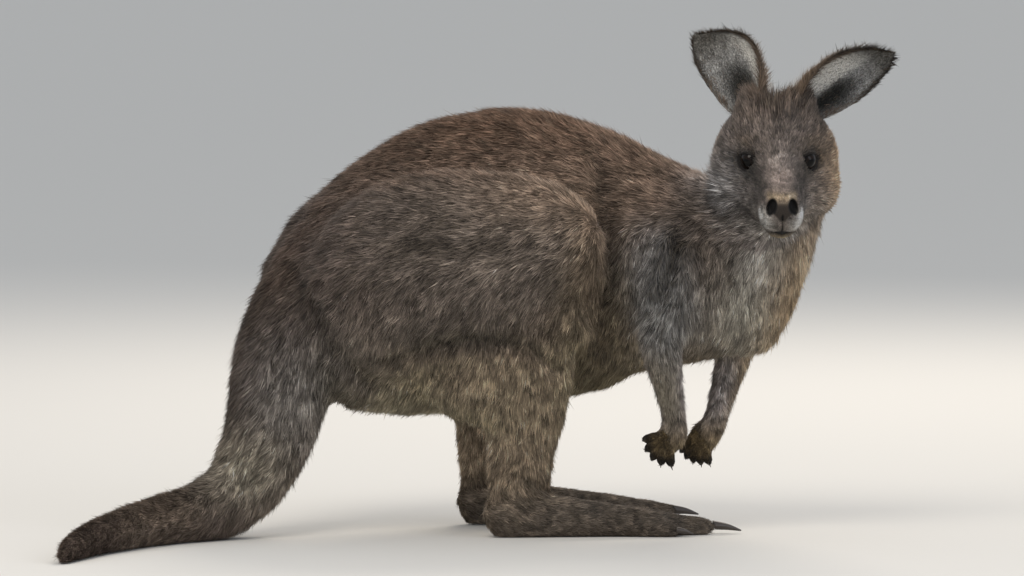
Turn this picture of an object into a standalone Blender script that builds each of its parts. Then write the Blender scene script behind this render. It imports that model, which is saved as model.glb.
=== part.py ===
"""Eastern grey kangaroo, life size: the solids of a still museum model.

Metres, +Z up. The animal stands on its two long hind feet and its tail, hunched, with its
head turned over its right shoulder. It faces +X, so its right side faces -Y. The outline is
the tips of the coat. The body is shaped whole, from lofted slices melted together, and then
parted into named solids with thin cuts. Sizes are in millimetres, and MM turns them to metres.
"""

import math
from typing import NamedTuple

import bmesh
import bpy
import numpy as np
from mathutils import Matrix, Vector

MM = 0.001

# ---- Driving sizes, in millimetres and degrees ----
VOXEL = 4.0                 # grid that melts the lofts into one body
MELT_PASSES = 8             # smoothing passes over the melted body
MELT_SOFTNESS = 0.5         # how far each pass moves a point towards its neighbours
BODY_TRIANGLES = 2750       # of the whole body, before it is parted
FINE_WEIGHT = 0.94          # how far the head, hands and toes are thinned, against the rest
CUT = 0.4                   # width of each parting cut
CLEARANCE = 0.3             # between an ear, eye or claw and what holds it
RING_POINTS = 28            # points round one slice of a loft
TRUNK_SPACING = 12.0        # between the trunk's slices
TRUNK_TAPER = 0.13          # how much narrower a slice is at its top than half way up
SKULL_SPACING = 6.0
SKULL_TAPER = 0.06
LIMB_SPACING = 9.0
CAP_ANGLES = (28, 55, 78)   # of the smaller slices that round off the end of a loft
CAP_REACH = 0.6             # how far those stand out, as a share of the end slice's half width

HEAD_AT = (314.5, -84.0, 441.0)
HEAD_YAW = -88.0            # the face looks over the right shoulder
HEAD_PITCH = 19.0           # muzzle below level

EYE_RADIUS = 13.0
EYE_AT = (24.0, 31.0, 20.0)     # in the head: forward, out to the side, up
EYE_LOOK = (0.64, 0.76, 0.06)   # the way the pupil faces
LID_OPENING = (11.5, 9.0)       # half length and half height of the gap between the lids

EAR_LENGTH = 130.0
EAR_THICKNESS = 4.6
EAR_ROOT = (-38.0, 29.0, 60.0)  # in the head: forward, out to the side, up
EAR_ROWS = 10                   # from root to tip
EAR_COLUMNS = 8                 # from edge to edge
EAR_HOLLOW = 9                  # the sheet's middle lies this far forward of the line it rises on
EAR_TIP_OUT = 7                 # and this far outward at the tip
EAR_BOW = 5                     # and inward half way up

FOOT_SOLE = -2.5            # the soles reach this far below the floor before they are cut
FINGERS = 5
FINGER_START = 6                # from the palm's middle
FINGER_LENGTH = 25.0
FINGER_RADIUS = 6.2
FINGER_ROOT = 1                 # thicker at the root by this much

SIDEWAYS = (0, 1, 0)            # the way a limb's width is measured
TAIL_ACROSS = (0.5, -0.85, 0)
NECK_ACROSS = (0.9, 0.3, 0)


class Slice(NamedTuple):
    """A slice of the trunk, given by its top and bottom edge and how wide it is."""

    top_x: float
    top_z: float
    low_x: float
    low_z: float
    mid_y: float
    half_width: float
    heading: float          # degrees from +X towards +Y


class Knot(NamedTuple):
    """A point on the middle line of a limb, with its half width and half depth there."""

    x: float
    y: float
    z: float
    wide: float
    deep: float


class Egg(NamedTuple):
    """A rounded mass of the head, in the head's frame: forward, out to the side, up."""

    name: str
    at: tuple[float, float, float]
    half: tuple[float, float, float]


class Cutter(NamedTuple):
    """The size of a region that parts the body: how deep it is and its two half sizes."""

    deep: float
    half: tuple[float, float]


class Leg(NamedTuple):
    """Where one hind leg stands."""

    name: str
    shift_x: float          # of the thigh, from the right one's place
    hip_y: float            # the thigh's middle line at x = 0
    splay: float            # how fast that line moves sideways going forward
    knee_y: float
    ankle_y: float
    ankle_shift_x: float
    heading: float          # of the foot
    inner_y: float          # where the shank leaves the belly, at the crease under the thigh
    inner_lean: float       # degrees that this parting leans in towards the ankle
    out: int                # +1 where the leg's outer side faces +Y


class Arm(NamedTuple):
    """Where one forelimb hangs."""

    name: str
    shoulder: tuple[float, float, float]
    elbow: tuple[float, float, float]
    wrist: tuple[float, float, float]
    palm: tuple[float, float, float]
    aim: float              # degrees below level that the middle finger points, towards -X
    fan: float              # degrees from the first finger to the last


TRUNK = (
    Slice(-281, 330, -168, 142, -32, 62, 20),
    Slice(-252, 380, -130, 136, -14, 88, 20),
    Slice(-214, 427, -84, 138, 0, 100, 19),
    Slice(-168, 462, -38, 142, 14, 108, 16),
    Slice(-118, 490, 4, 146, 25, 114, 12),
    Slice(-58, 506, 48, 149, 33, 119, 6),
    Slice(10, 512, 86, 161, 37, 121, 0),
    Slice(72, 501, 118, 168, 35, 118, -8),
    Slice(125, 482, 152, 186, 28, 112, -16),
    Slice(178, 455, 186, 195, 15, 105, -23),
    Slice(228, 433, 228, 202, -1, 98, -29),
    Slice(262, 416, 262, 214, -16, 88, -33),
    Slice(294, 385, 284, 244, -33, 70, -36),
    Slice(320, 348, 304, 274, -46, 46, -38),
)

TAIL = (
    Knot(-205, -10, 300, 84, 92),
    Knot(-246, -30, 250, 70, 78),
    Knot(-270, -44, 200, 60, 71),
    Knot(-282, -54, 150, 53, 64),
    Knot(-298, -66, 100, 50, 55),
    Knot(-322, -84, 60, 45, 48),
    Knot(-360, -112, 37, 40, 39),
    Knot(-402, -152, 30, 35, 33),
    Knot(-440, -204, 26, 30, 29),
    Knot(-470, -262, 22, 26, 25),
    Knot(-494, -324, 18, 21, 21),
    Knot(-510, -384, 14, 16, 17),
    Knot(-518, -424, 10, 11, 12),
)
TAIL_CUTS = (("tail_tip", 9.0), ("tail_end", 6.6), ("tail_middle", 3.6), ("tail_base", 1.0))

NECK = (
    Knot(248, -4, 268, 88, 74),
    Knot(270, -12, 300, 82, 70),
    Knot(288, -22, 334, 75, 64),
    Knot(303, -30, 368, 69, 60),
    Knot(312, -38, 402, 66, 57),
    Knot(316, -44, 434, 60, 54),
)

# In the head's own frame: x forward, the top and bottom edge, and the half width.
SKULL = (
    (-84, 36, -34, 44),
    (-66, 60, -50, 61),
    (-44, 73, -60, 72),
    (-18, 75, -65, 76),
    (6, 68, -65, 68),
    (28, 54, -62, 52),
    (48, 41, -58, 40),
    (68, 31, -54, 31),
    (88, 24, -50, 27),
    (104, 17, -45, 25),
    (113, 8, -36, 20),
)

# Of the right leg, from hip to knee: x, z, half width and half height.
THIGH = (
    (-236, 290, 34, 48),
    (-205, 296, 52, 84),
    (-150, 306, 62, 116),
    (-90, 320, 66, 122),
    (-30, 334, 64, 112),
    (25, 344, 56, 94),
    (66, 342, 46, 72),
    (88, 334, 36, 50),
)
# Of the right leg, from knee to ankle: x, z, half width and half depth.
SHANK = (
    (20, 350, 40, 76),
    (-6, 296, 46, 104),
    (-16, 246, 46, 114),
    (-10, 204, 42, 102),
    (6, 168, 36, 76),
    (14, 140, 31, 54),
    (10, 108, 27, 46),
    (9, 78, 26, 42),
    (8, 46, 25, 38),
)
KNEE_Z = SHANK[0][1]
ANKLE_X, ANKLE_Z = SHANK[-1][:2]
CREASE_Z = 262              # the crease under the thigh, where the shank's parting starts

# Forward of the ankle, then half width and height of the foot above the floor.
FOOT = (
    (-34, 17, 44),
    (-14, 22, 58),
    (20, 24, 56),
    (70, 24, 46),
    (120, 26, 38),
    (160, 24, 32),
    (196, 17, 26),
    (224, 13, 22),
)
# Each hind toe: name, where it starts and ends, forward and out to the side, and its radius.
TOES = (
    ("fourth", (190, -2), (232, -3), 12.5),
    ("fifth", (126, 15), (184, 29), 10.0),
    ("third", (126, -17), (170, -23), 6.5),
    ("second", (124, -23), (163, -32), 6.0),
)
TOE_RISE = 2                # of a toe's root over its end
TOE_THINNING = 0.9          # the radius at its end, as a share of the one at its root
TOE_CLAWS = {"fourth": (34, 6.5), "fifth": (20, 4.6), "third": (12, 2.6), "second": (12, 2.6)}
TOE_CLAW_UP = 1             # the claw's root lies this far over the toe's middle
TOE_CLAW_AHEAD = 0.25       # and this share of the toe's radius past its end
TOE_CLAW_CLEAR = 1.0        # how far over the floor its tip is kept
TOE_CLAW_HALF_TIP = 0.25    # half the tip's height, as a share of the root's radius
TOE_CLAW_DROOP = 0.8        # share of the way down that the claw's bend takes
FINGER_CLAW = (12, 2.8)     # length, and radius at the root
FINGER_CLAW_AHEAD = 0.2     # share of the finger's radius that the root lies past its end
FINGER_CLAW_BEND = (0.25, 0.12, -0.12)
CLAW_SHAPE = ((0.0, 1.0), (0.35, 0.86), (0.7, 0.55), (1.0, 0.18))   # along it, how thick
CLAW_CAP = (50,)

LEGS = (
    Leg("right", 0, -97, -0.03, -94, -78, 0, 8, -72, 17, -1),
    Leg("left", -46, 126, 0.30, 126, 94, -34, 20, 138, 33, 1),
)
ARMS = (
    Arm("right", (194, -62, 346), (176, -84, 232), (197, -36, 126), (189, -40, 114), 45, 92),
    Arm("left", (272, 60, 346), (275, 74, 232), (243, 26, 126), (230, 22, 112), 66, 70),
)
# Along a limb: share of the way, half width and half depth.
UPPER_ARM = ((0.0, 34, 46), (0.3, 31, 46), (0.65, 27, 38), (1.0, 24, 30))
FOREARM = ((0.0, 24, 29), (0.28, 21, 24), (0.6, 18, 20), (0.85, 16, 17), (1.0, 15, 16))
PALM = ((0.0, 15, 16), (0.6, 14, 19), (1.0, 12, 19))

SIDE_EGGS = (
    Egg("cheek", (-14, 42, -24), (48, 36, 44)),
    Egg("brow", (18, 33, 36), (22, 13, 7)),
    Egg("lip", (94, 12, -28), (21, 14, 15)),
)
MIDDLE_EGGS = (
    Egg("nose", (108, 0, -3), (12, 17, 13)),
    Egg("chin", (89, 0, -43), (20, 17, 11)),
)
EAR_STEM = ((-24, 30), (-6, 27), (8, 21), (16, 15))     # from the ear's root, and radius

# Each ear: name, side, the way it points, and degrees that its hollow turns outward.
EARS = (
    ("right", -1, (-0.42, 0.60, 0.66), 6),
    ("left", 1, (0.82, 0.14, 0.58), 20),
)
# Up the ear: share of its length, half width, and how far round half its sheet curls, degrees.
EAR_SHAPE = (
    (0.0, 18, 100),
    (0.15, 29, 90),
    (0.3, 35, 74),
    (0.48, 37, 60),
    (0.66, 33, 50),
    (0.8, 26, 44),
    (0.91, 17, 40),
    (1.0, 6, 36),
)

# The regions that part the body.
FLOOR = Cutter(80, (900, 900))
PAW = Cutter(70, (26, 46))
LOWER_ARM = Cutter(130, (32, 34))
SHOULDER = Cutter(76, (46, 84))
HIND_FOOT = Cutter(60, (60, 175))
HAUNCH = Cutter(140, (182, 106))
LOWER_LEG = Cutter(190, (117, 112))
TAIL_PIECE = Cutter(420, (170, 120))
WHOLE_HEAD = Cutter(260, (130, 92))
WHOLE_NECK = Cutter(200, (130, 130))

FLOOR_MIDDLE = (-50, -60, 0)
WRIST_BACK = 12             # a paw's parting is centred this far behind the wrist
WRIST_UP = 4                # and starts this far over it
ELBOW_DOWN = 12             # the forearm's parting lies this far below the elbow
ARM_OUTWARD = (0.54, 0.84, 0)   # the way a left upper arm faces
SHOULDER_SHARE = 0.42       # of the way down the upper arm, where its drum is centred
SHOULDER_DEPTH = 24         # how far inside the arm the drum starts
SHOULDER_TILT = 8
FOOT_MIDDLE = 100           # forward of the ankle
FOOT_TOP = 50               # height of the cut between foot and shank
HAUNCH_X = -80
HAUNCH_Z = 330
HAUNCH_DEPTH = 34           # how far inside the thigh's middle line its drum starts
HAUNCH_TILT = 6
CREASE_X = -16              # the middle of the shank's parting
CREASE_SHARE = 0.9          # how far it goes with the thigh's own shift
CREASE_DOWN = 110           # from the crease to the middle of the parting
NAPE_AT = (-32, 0, -36)     # in the head: where its parting passes
NAPE_WAY = (0.62, 0, 0.78)  # and the way it faces
NECK_AT = (292, -28, 346)   # where the neck's parting passes
NECK_WAY = (0.66, -0.42, 0.62)

BALL_RINGS = 8
LID_GAP_SPREAD = 1.5        # the gap between the lids is this much wider at its front
LID_GAP_DEPTH = 45
LID_GAP_MIDDLE = 24         # out from the eye's middle

COAT = ("coat", (0.21, 0.17, 0.14), 0.9)
EYE = ("eye", (0.02, 0.012, 0.008), 0.08)
HORN = ("claw", (0.03, 0.025, 0.022), 0.45)


# ---- Small helpers ----
def clear_scene() -> None:
    """Remove every object, so that the model starts from nothing."""
    for old in list(bpy.data.objects):
        bpy.data.objects.remove(old, do_unlink=True)


def vec(*mm: float) -> Vector:
    """A point given in millimetres, in metres."""
    return Vector(mm) * MM


def unit(rows: np.ndarray) -> np.ndarray:
    """Each row at length one."""
    rows = np.asarray(rows, float)
    return rows / np.maximum(np.linalg.norm(rows, axis=-1, keepdims=True), 1e-12)


def along(rows, spacing: float) -> np.ndarray:
    """Rows read off a smooth curve through the given rows, about `spacing` mm apart."""
    rows = np.array(rows, float)
    gaps = np.linalg.norm(np.diff(rows[:, :3], axis=0), axis=1)
    at = np.concatenate([[0.0], np.cumsum(gaps)])
    slope = np.gradient(rows, at, axis=0)
    want = np.linspace(0.0, at[-1], max(int(at[-1] / spacing), 2) + 1)
    span = np.clip(np.searchsorted(at, want, side="right") - 1, 0, len(at) - 2)
    width = (at[span + 1] - at[span])[:, None]
    t = (want - at[span])[:, None] / width
    start = (2 * t**3 - 3 * t**2 + 1) * rows[span] + (t**3 - 2 * t**2 + t) * width * slope[span]
    end = (3 * t**2 - 2 * t**3) * rows[span + 1] + (t**3 - t**2) * width * slope[span + 1]
    return start + end


def slice_points(centre, side, up, half_width, rise, taper=0.0, count=RING_POINTS) -> np.ndarray:
    """Points round one slice: an oval that narrows towards its top by `taper`."""
    turn = np.arange(count) * (2 * math.pi / count)
    out = np.cos(turn) * half_width * (1 - taper * np.sin(turn))
    high = rise * np.sin(turn)
    return np.asarray(centre) + out[:, None] * np.asarray(side) + high[:, None] * np.asarray(up)


def rounded(end: np.ndarray, inner: np.ndarray, angles) -> list[np.ndarray]:
    """Smaller slices that round off the end slice of a loft, going outward."""
    middle = end.mean(axis=0)
    outward = unit(middle - inner.mean(axis=0))
    reach = CAP_REACH * np.linalg.norm(end - middle, axis=1).min()
    caps = []
    for angle in angles:
        turn = math.radians(angle)
        caps.append(middle + (end - middle) * math.cos(turn) + outward * math.sin(turn) * reach)
    return caps


def loft(name: str, rings: list[np.ndarray], angles=CAP_ANGLES) -> bpy.types.Mesh:
    """A closed skin over slices of equal point count, rounded at both ends."""
    first, last = rounded(rings[0], rings[1], angles), rounded(rings[-1], rings[-2], angles)
    rings = first[::-1] + rings + last
    shape = bmesh.new()
    rows = [[shape.verts.new(Vector(point) * MM) for point in ring] for ring in rings]
    count = len(rows[0])
    for near, far in zip(rows, rows[1:]):
        for k in range(count):
            n = (k + 1) % count
            shape.faces.new((near[k], near[n], far[n], far[k]))
    shape.faces.new(rows[0][::-1])
    shape.faces.new(rows[-1])
    bmesh.ops.recalc_face_normals(shape, faces=shape.faces)
    return finished(name, shape)


def finished(name: str, shape: bmesh.types.BMesh) -> bpy.types.Mesh:
    """The shape as a mesh of this name."""
    mesh = bpy.data.meshes.new(name)
    shape.to_mesh(mesh)
    shape.free()
    return mesh


def limb(
    name, knots, side=SIDEWAYS, spacing=LIMB_SPACING, count=RING_POINTS, angles=CAP_ANGLES
) -> bpy.types.Mesh:
    """A limb, lofted along its middle line, with its width measured along `side`."""
    rows = along(knots, spacing)
    path = unit(np.gradient(rows[:, :3], axis=0))
    across = unit(np.array(side, float) - path * (path @ np.array(side, float))[:, None])
    up = np.cross(path, across)
    rings = [
        slice_points(row[:3], s, u, row[3], row[4], count=count)
        for row, s, u in zip(rows, across, up)
    ]
    return loft(name, rings, angles)


def egg(name: str, at, size, frame: Matrix | None = None) -> bpy.types.Mesh:
    """An egg of half sizes `size` at `at`, both in millimetres, in a frame of its own."""
    shape = bmesh.new()
    bmesh.ops.create_uvsphere(shape, u_segments=22, v_segments=13, radius=1.0)
    place = (frame or Matrix()) @ Matrix.Translation(vec(*at))
    shape.transform(place @ Matrix.Diagonal((size[0] * MM, size[1] * MM, size[2] * MM, 1.0)))
    return finished(name, shape)


def facing(point, normal, upright=(0, 0, 1)) -> Matrix:
    """A frame at `point` whose z is `normal` and whose x is square to `upright`."""
    z = Vector(normal).normalized()
    x = Vector(upright).cross(z)
    x = x.normalized() if x.length > 1e-6 else Vector((1, 0, 0))
    y = z.cross(x)
    frame = Matrix((x, y, z)).transposed().to_4x4()
    return Matrix.Translation(vec(*point)) @ frame


def add(mesh: bpy.types.Mesh, collection: bpy.types.Collection) -> bpy.types.Object:
    """An object that shows this mesh."""
    made = bpy.data.objects.new(mesh.name, mesh)
    collection.objects.link(made)
    return made


def settled(piece: bpy.types.Object) -> bpy.types.Object:
    """The piece with its modifiers made part of its mesh."""
    graph = bpy.context.evaluated_depsgraph_get()
    mesh = bpy.data.meshes.new_from_object(piece.evaluated_get(graph))
    piece.modifiers.clear()
    old, piece.data = piece.data, mesh
    bpy.data.meshes.remove(old)
    return piece


def combine(piece: bpy.types.Object, other: bpy.types.Object, how: str) -> bpy.types.Object:
    """The piece after a Boolean with the other, which is then removed."""
    step = piece.modifiers.new(how.lower(), "BOOLEAN")
    step.operation = how
    step.object = other
    settled(piece)
    bpy.data.objects.remove(other, do_unlink=True)
    return piece


# ---- The head's frame ----
def head_frame() -> Matrix:
    """The head's own frame: x to the nose, y to its left, z up, in metres."""
    turn = Matrix.Rotation(math.radians(HEAD_YAW), 4, "Z")
    nod = Matrix.Rotation(math.radians(HEAD_PITCH), 4, "Y")
    return Matrix.Translation(vec(*HEAD_AT)) @ turn @ nod


def in_head(point) -> tuple[float, float, float]:
    """A point of the head's frame as a point of the model, in millimetres."""
    return tuple((head_frame() @ vec(*point)) / MM)


def head_way(way) -> Vector:
    """A direction of the head's frame as a direction of the model."""
    return (head_frame().to_3x3() @ Vector(way)).normalized()


# ---- The flesh, before it is melted into one ----
def trunk() -> bpy.types.Mesh:
    """The trunk, lofted over its slices from the rump to the breast."""
    rows = []
    for cut in TRUNK:
        middle = ((cut.top_x + cut.low_x) / 2, cut.mid_y, (cut.top_z + cut.low_z) / 2)
        lean = (cut.top_x - cut.low_x) / 2
        rise = (cut.top_z - cut.low_z) / 2
        rows.append((*middle, lean, rise, cut.half_width, cut.heading))
    rings = []
    for x, y, z, lean, rise, half_width, heading in along(rows, TRUNK_SPACING):
        turn = math.radians(heading)
        side = (-math.sin(turn), math.cos(turn), 0.0)
        up = (lean, lean * math.tan(turn), rise)
        rings.append(slice_points((x, y, z), side, up, half_width, 1.0, taper=TRUNK_TAPER))
    return loft("trunk", rings)


def head() -> list[bpy.types.Mesh]:
    """The head's masses: skull, cheeks, brows, lips, nose, chin and the roots of the ears."""
    rows = [(x, 0, (top + low) / 2, (top - low) / 2, wide) for x, top, low, wide in SKULL]
    rings = []
    for x, _, z, rise, wide in along(rows, SKULL_SPACING):
        rings.append(slice_points((x, 0, z), (0, 1, 0), (0, 0, 1), wide, rise, taper=SKULL_TAPER))
    skull = loft("skull", rings)
    frame = head_frame()
    skull.transform(frame)
    masses = [skull]
    for side in (-1, 1):
        for name, (x, y, z), half in SIDE_EGGS:
            masses.append(egg(name, (x, side * y, z), half, frame))
    masses += [egg(*mass, frame) for mass in MIDDLE_EGGS]
    for _, side, way, _ in EARS:
        root = Vector(in_head((EAR_ROOT[0], side * EAR_ROOT[1], EAR_ROOT[2])))
        way = Vector(way).normalized()
        stem = [Knot(*(root + way * d), r, r) for d, r in EAR_STEM]
        masses.append(limb("ear_root", stem))
    return masses


def leg(place: Leg) -> list[bpy.types.Mesh]:
    """One hind leg: thigh, shank, foot and toes."""
    masses = []
    thigh = []
    for x, z, wide, deep in THIGH:
        x += place.shift_x
        thigh.append(Knot(x, place.hip_y + place.splay * x, z, wide, deep))
    masses.append(limb("thigh", thigh))
    shank = []
    for x, z, wide, deep in SHANK:
        up = (z - ANKLE_Z) / (KNEE_Z - ANKLE_Z)
        x += place.ankle_shift_x + (place.shift_x - place.ankle_shift_x) * up
        y = place.ankle_y + (place.knee_y - place.ankle_y) * up
        shank.append(Knot(x, y, z, wide, deep))
    masses.append(limb("shank", shank))
    foot = []
    for forward, wide, high in FOOT:
        x, y = on_foot(place, forward, 0)
        foot.append(Knot(x, y, (high + FOOT_SOLE) / 2, wide, (high - FOOT_SOLE) / 2))
    across = (-math.sin(math.radians(place.heading)), math.cos(math.radians(place.heading)), 0)
    masses.append(limb("foot", foot, across))
    for _, start, end, radius in TOES:
        near, far = (on_foot(place, *spot) for spot in (start, end))
        middle = radius + FOOT_SOLE
        end_radius = radius * TOE_THINNING
        knots = (Knot(*near, middle + TOE_RISE, radius, radius), Knot(*far, middle, end_radius, end_radius))
        masses.append(limb("toe", knots, across, spacing=8.0, count=16))
    return masses


def on_foot(place: Leg, forward: float, out: float) -> tuple[float, float]:
    """A spot on the floor, forward of the ankle and out to the leg's outer side."""
    turn = math.radians(place.heading)
    out *= place.out
    x = ANKLE_X + place.ankle_shift_x + forward * math.cos(turn) - out * math.sin(turn)
    y = place.ankle_y + forward * math.sin(turn) + out * math.cos(turn)
    return x, y


def finger_ways(place: Arm) -> list[Vector]:
    """The way each finger points, from the hindmost one to the foremost."""
    ways = []
    for k in range(FINGERS):
        turn = math.radians(place.aim + place.fan * (k / (FINGERS - 1) - 0.5))
        ways.append(Vector((-math.cos(turn), -0.10, -math.sin(turn))).normalized())
    return ways


def arm(place: Arm) -> list[bpy.types.Mesh]:
    """One forelimb: upper arm, forearm, palm and fingers."""
    masses = []
    for ends, profile in (
        ((place.shoulder, place.elbow), UPPER_ARM),
        ((place.elbow, place.wrist), FOREARM),
    ):
        start, end = (Vector(point) for point in ends)
        knots = [Knot(*start.lerp(end, t), wide, deep) for t, wide, deep in profile]
        masses.append(limb("arm", knots))
    wrist, palm = Vector(place.wrist), Vector(place.palm)
    knots = [Knot(*wrist.lerp(palm, t), wide, deep) for t, wide, deep in PALM]
    masses.append(limb("palm", knots, spacing=5.0))
    for way in finger_ways(place):
        root = palm + way * FINGER_START
        tip = palm + way * FINGER_LENGTH
        thick = FINGER_RADIUS + FINGER_ROOT
        knots = (Knot(*root, thick, thick), Knot(*tip, FINGER_RADIUS, FINGER_RADIUS))
        masses.append(limb("finger", knots, spacing=5.0, count=14))
    return masses


def melted(masses: list[bpy.types.Mesh], parts: bpy.types.Collection) -> bpy.types.Object:
    """All the masses as one smooth closed body with few triangles."""
    whole = bmesh.new()
    for mass in masses:
        whole.from_mesh(mass)
        bpy.data.meshes.remove(mass)
    bmesh.ops.recalc_face_normals(whole, faces=whole.faces)
    body = add(finished("body", whole), parts)
    melt = body.modifiers.new("melt", "REMESH")
    melt.mode = "VOXEL"
    melt.voxel_size = VOXEL * MM
    soften = body.modifiers.new("soften", "SMOOTH")
    soften.factor = MELT_SOFTNESS
    soften.iterations = MELT_PASSES
    settled(body)
    keep = body.vertex_groups.new(name="thin out")
    finer = fine_places()
    for vertex in body.data.vertices:
        near = any((vertex.co - centre).length < reach for centre, reach in finer)
        keep.add([vertex.index], FINE_WEIGHT if near else 1.0, "REPLACE")
    triangles = sum(len(face.vertices) - 2 for face in body.data.polygons)
    thin = body.modifiers.new("thin", "DECIMATE")
    thin.ratio = BODY_TRIANGLES / triangles
    thin.vertex_group = keep.name
    settled(body)
    body.vertex_groups.clear()
    return body


def fine_places() -> list[tuple[Vector, float]]:
    """Where the body keeps smaller triangles: centre and reach, in metres."""
    places = [(head_frame() @ vec(30, 0, 0), 115 * MM)]
    for place in ARMS:
        places.append((vec(*place.palm), 42 * MM))
    for place in LEGS:
        places.append((vec(*on_foot(place, 170, 0), 15), 90 * MM))
    return places


# ---- Parting the body ----
def block(point, normal, reach: float, half, grow: float, upright=(0, 0, 1)) -> bpy.types.Mesh:
    """A box beyond a plane: its near face is at `point`, and it runs on along `normal`."""
    shape = bmesh.new()
    bmesh.ops.create_cube(shape, size=1.0)
    size = vec(2 * (half[0] + grow), 2 * (half[1] + grow), reach + 2 * grow)
    shape.transform(Matrix.Diagonal((*size, 1.0)))
    shape.transform(Matrix.Translation(vec(0, 0, reach / 2)))
    shape.transform(facing(point, normal, upright))
    return finished("block", shape)


def drum(point, axis, depth: float, half, tilt: float, grow: float) -> bpy.types.Mesh:
    """An oval drum from `point` along `axis`: half sizes level and upright, tilted."""
    shape = bmesh.new()
    bmesh.ops.create_cone(
        shape, cap_ends=True, segments=32, radius1=1.0, radius2=1.0, depth=1.0
    )
    size = vec(half[0] + grow, half[1] + grow, depth + 2 * grow)
    shape.transform(Matrix.Diagonal((*size, 1.0)))
    shape.transform(Matrix.Translation(vec(0, 0, depth / 2)))
    shape.transform(facing(point, axis) @ Matrix.Rotation(math.radians(tilt), 4, "Z"))
    return finished("drum", shape)


def tail_place(step: float) -> tuple[Vector, Vector]:
    """A point on the tail's middle line, `step` knots from its root, and the way it runs."""
    k = int(step)
    near, far = Vector(TAIL[k][:3]), Vector(TAIL[k + 1][:3])
    return near.lerp(far, step - k), (far - near).normalized()


def regions() -> list[tuple]:
    """Each part's name and the function that makes its region, in the order of parting."""
    found = []

    def part(name, make, *args, **more):
        found.append((name, lambda grow: make(*args, grow=grow, **more)))

    for place in ARMS:
        wrist, palm, elbow = (Vector(p) for p in (place.wrist, place.palm, place.elbow))
        down = (wrist - elbow).normalized()
        start = (wrist.x - WRIST_BACK, palm.y, wrist.z + WRIST_UP)
        part(f"paw_{place.name}", block, start, (0, 0, -1), *PAW, upright=(1, 0, 0))
        part(f"forearm_{place.name}", block, elbow + down * ELBOW_DOWN, down, *LOWER_ARM)
        sign = place_sign(place.name)
        out = Vector(ARM_OUTWARD) * sign
        middle = Vector(place.shoulder).lerp(elbow, SHOULDER_SHARE) - out * SHOULDER_DEPTH
        part(f"upper_arm_{place.name}", drum, middle, out, *SHOULDER, -SHOULDER_TILT * sign)
    for place in LEGS:
        middle = on_foot(place, FOOT_MIDDLE, 0)
        turn = math.radians(place.heading)
        ahead = (math.cos(turn), math.sin(turn), 0)
        part(f"foot_{place.name}", block, (*middle, FOOT_TOP), (0, 0, -1), *HIND_FOOT, upright=ahead)
        x = HAUNCH_X + place.shift_x
        y = place.hip_y + place.splay * x - place.out * HAUNCH_DEPTH
        way = (-place.splay * place.out, place.out, 0)
        part(f"thigh_{place.name}", drum, (x, y, HAUNCH_Z), way, *HAUNCH, -HAUNCH_TILT * place.out)
        lean = math.radians(place.inner_lean)
        normal = (0, place.out * math.cos(lean), -math.sin(lean))
        middle_x = place.shift_x * CREASE_SHARE + CREASE_X
        start = Vector((middle_x, place.inner_y, CREASE_Z))
        start += Vector((0, place.out * -math.sin(lean), -math.cos(lean))) * CREASE_DOWN
        part(f"shank_{place.name}", block, start, normal, *LOWER_LEG, upright=(0, 0, 1))
    for name, step in TAIL_CUTS:
        part(name, block, *tail_place(step), *TAIL_PIECE)
    nape = head_way(NAPE_WAY)
    part("head", block, in_head(NAPE_AT), nape, *WHOLE_HEAD, upright=head_way((0, 1, 0)))
    part("neck", block, NECK_AT, NECK_WAY, *WHOLE_NECK)
    return found


def place_sign(name: str) -> int:
    """+1 for the left side and -1 for the right one."""
    return 1 if name == "left" else -1


def parted(body: bpy.types.Object, parts: bpy.types.Collection) -> dict[str, bpy.types.Object]:
    """The body cut into its named pieces. What no region takes is the trunk."""
    pieces = {}
    for name, region in regions():
        piece = add(body.data.copy(), parts)
        pieces[name] = combine(piece, add(region(-CUT / 2), parts), "INTERSECT")
        combine(body, add(region(CUT / 2), parts), "DIFFERENCE")
    pieces["trunk"] = body
    return pieces


# ---- Ears, eyes and claws ----
def grown(piece: bpy.types.Object, by: float, parts: bpy.types.Collection) -> bpy.types.Object:
    """A copy of the piece with its surface moved out by `by` millimetres."""
    copy = add(piece.data.copy(), parts)
    swell = copy.modifiers.new("swell", "DISPLACE")
    swell.strength = by * MM
    swell.mid_level = 0.0
    return settled(copy)


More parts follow.
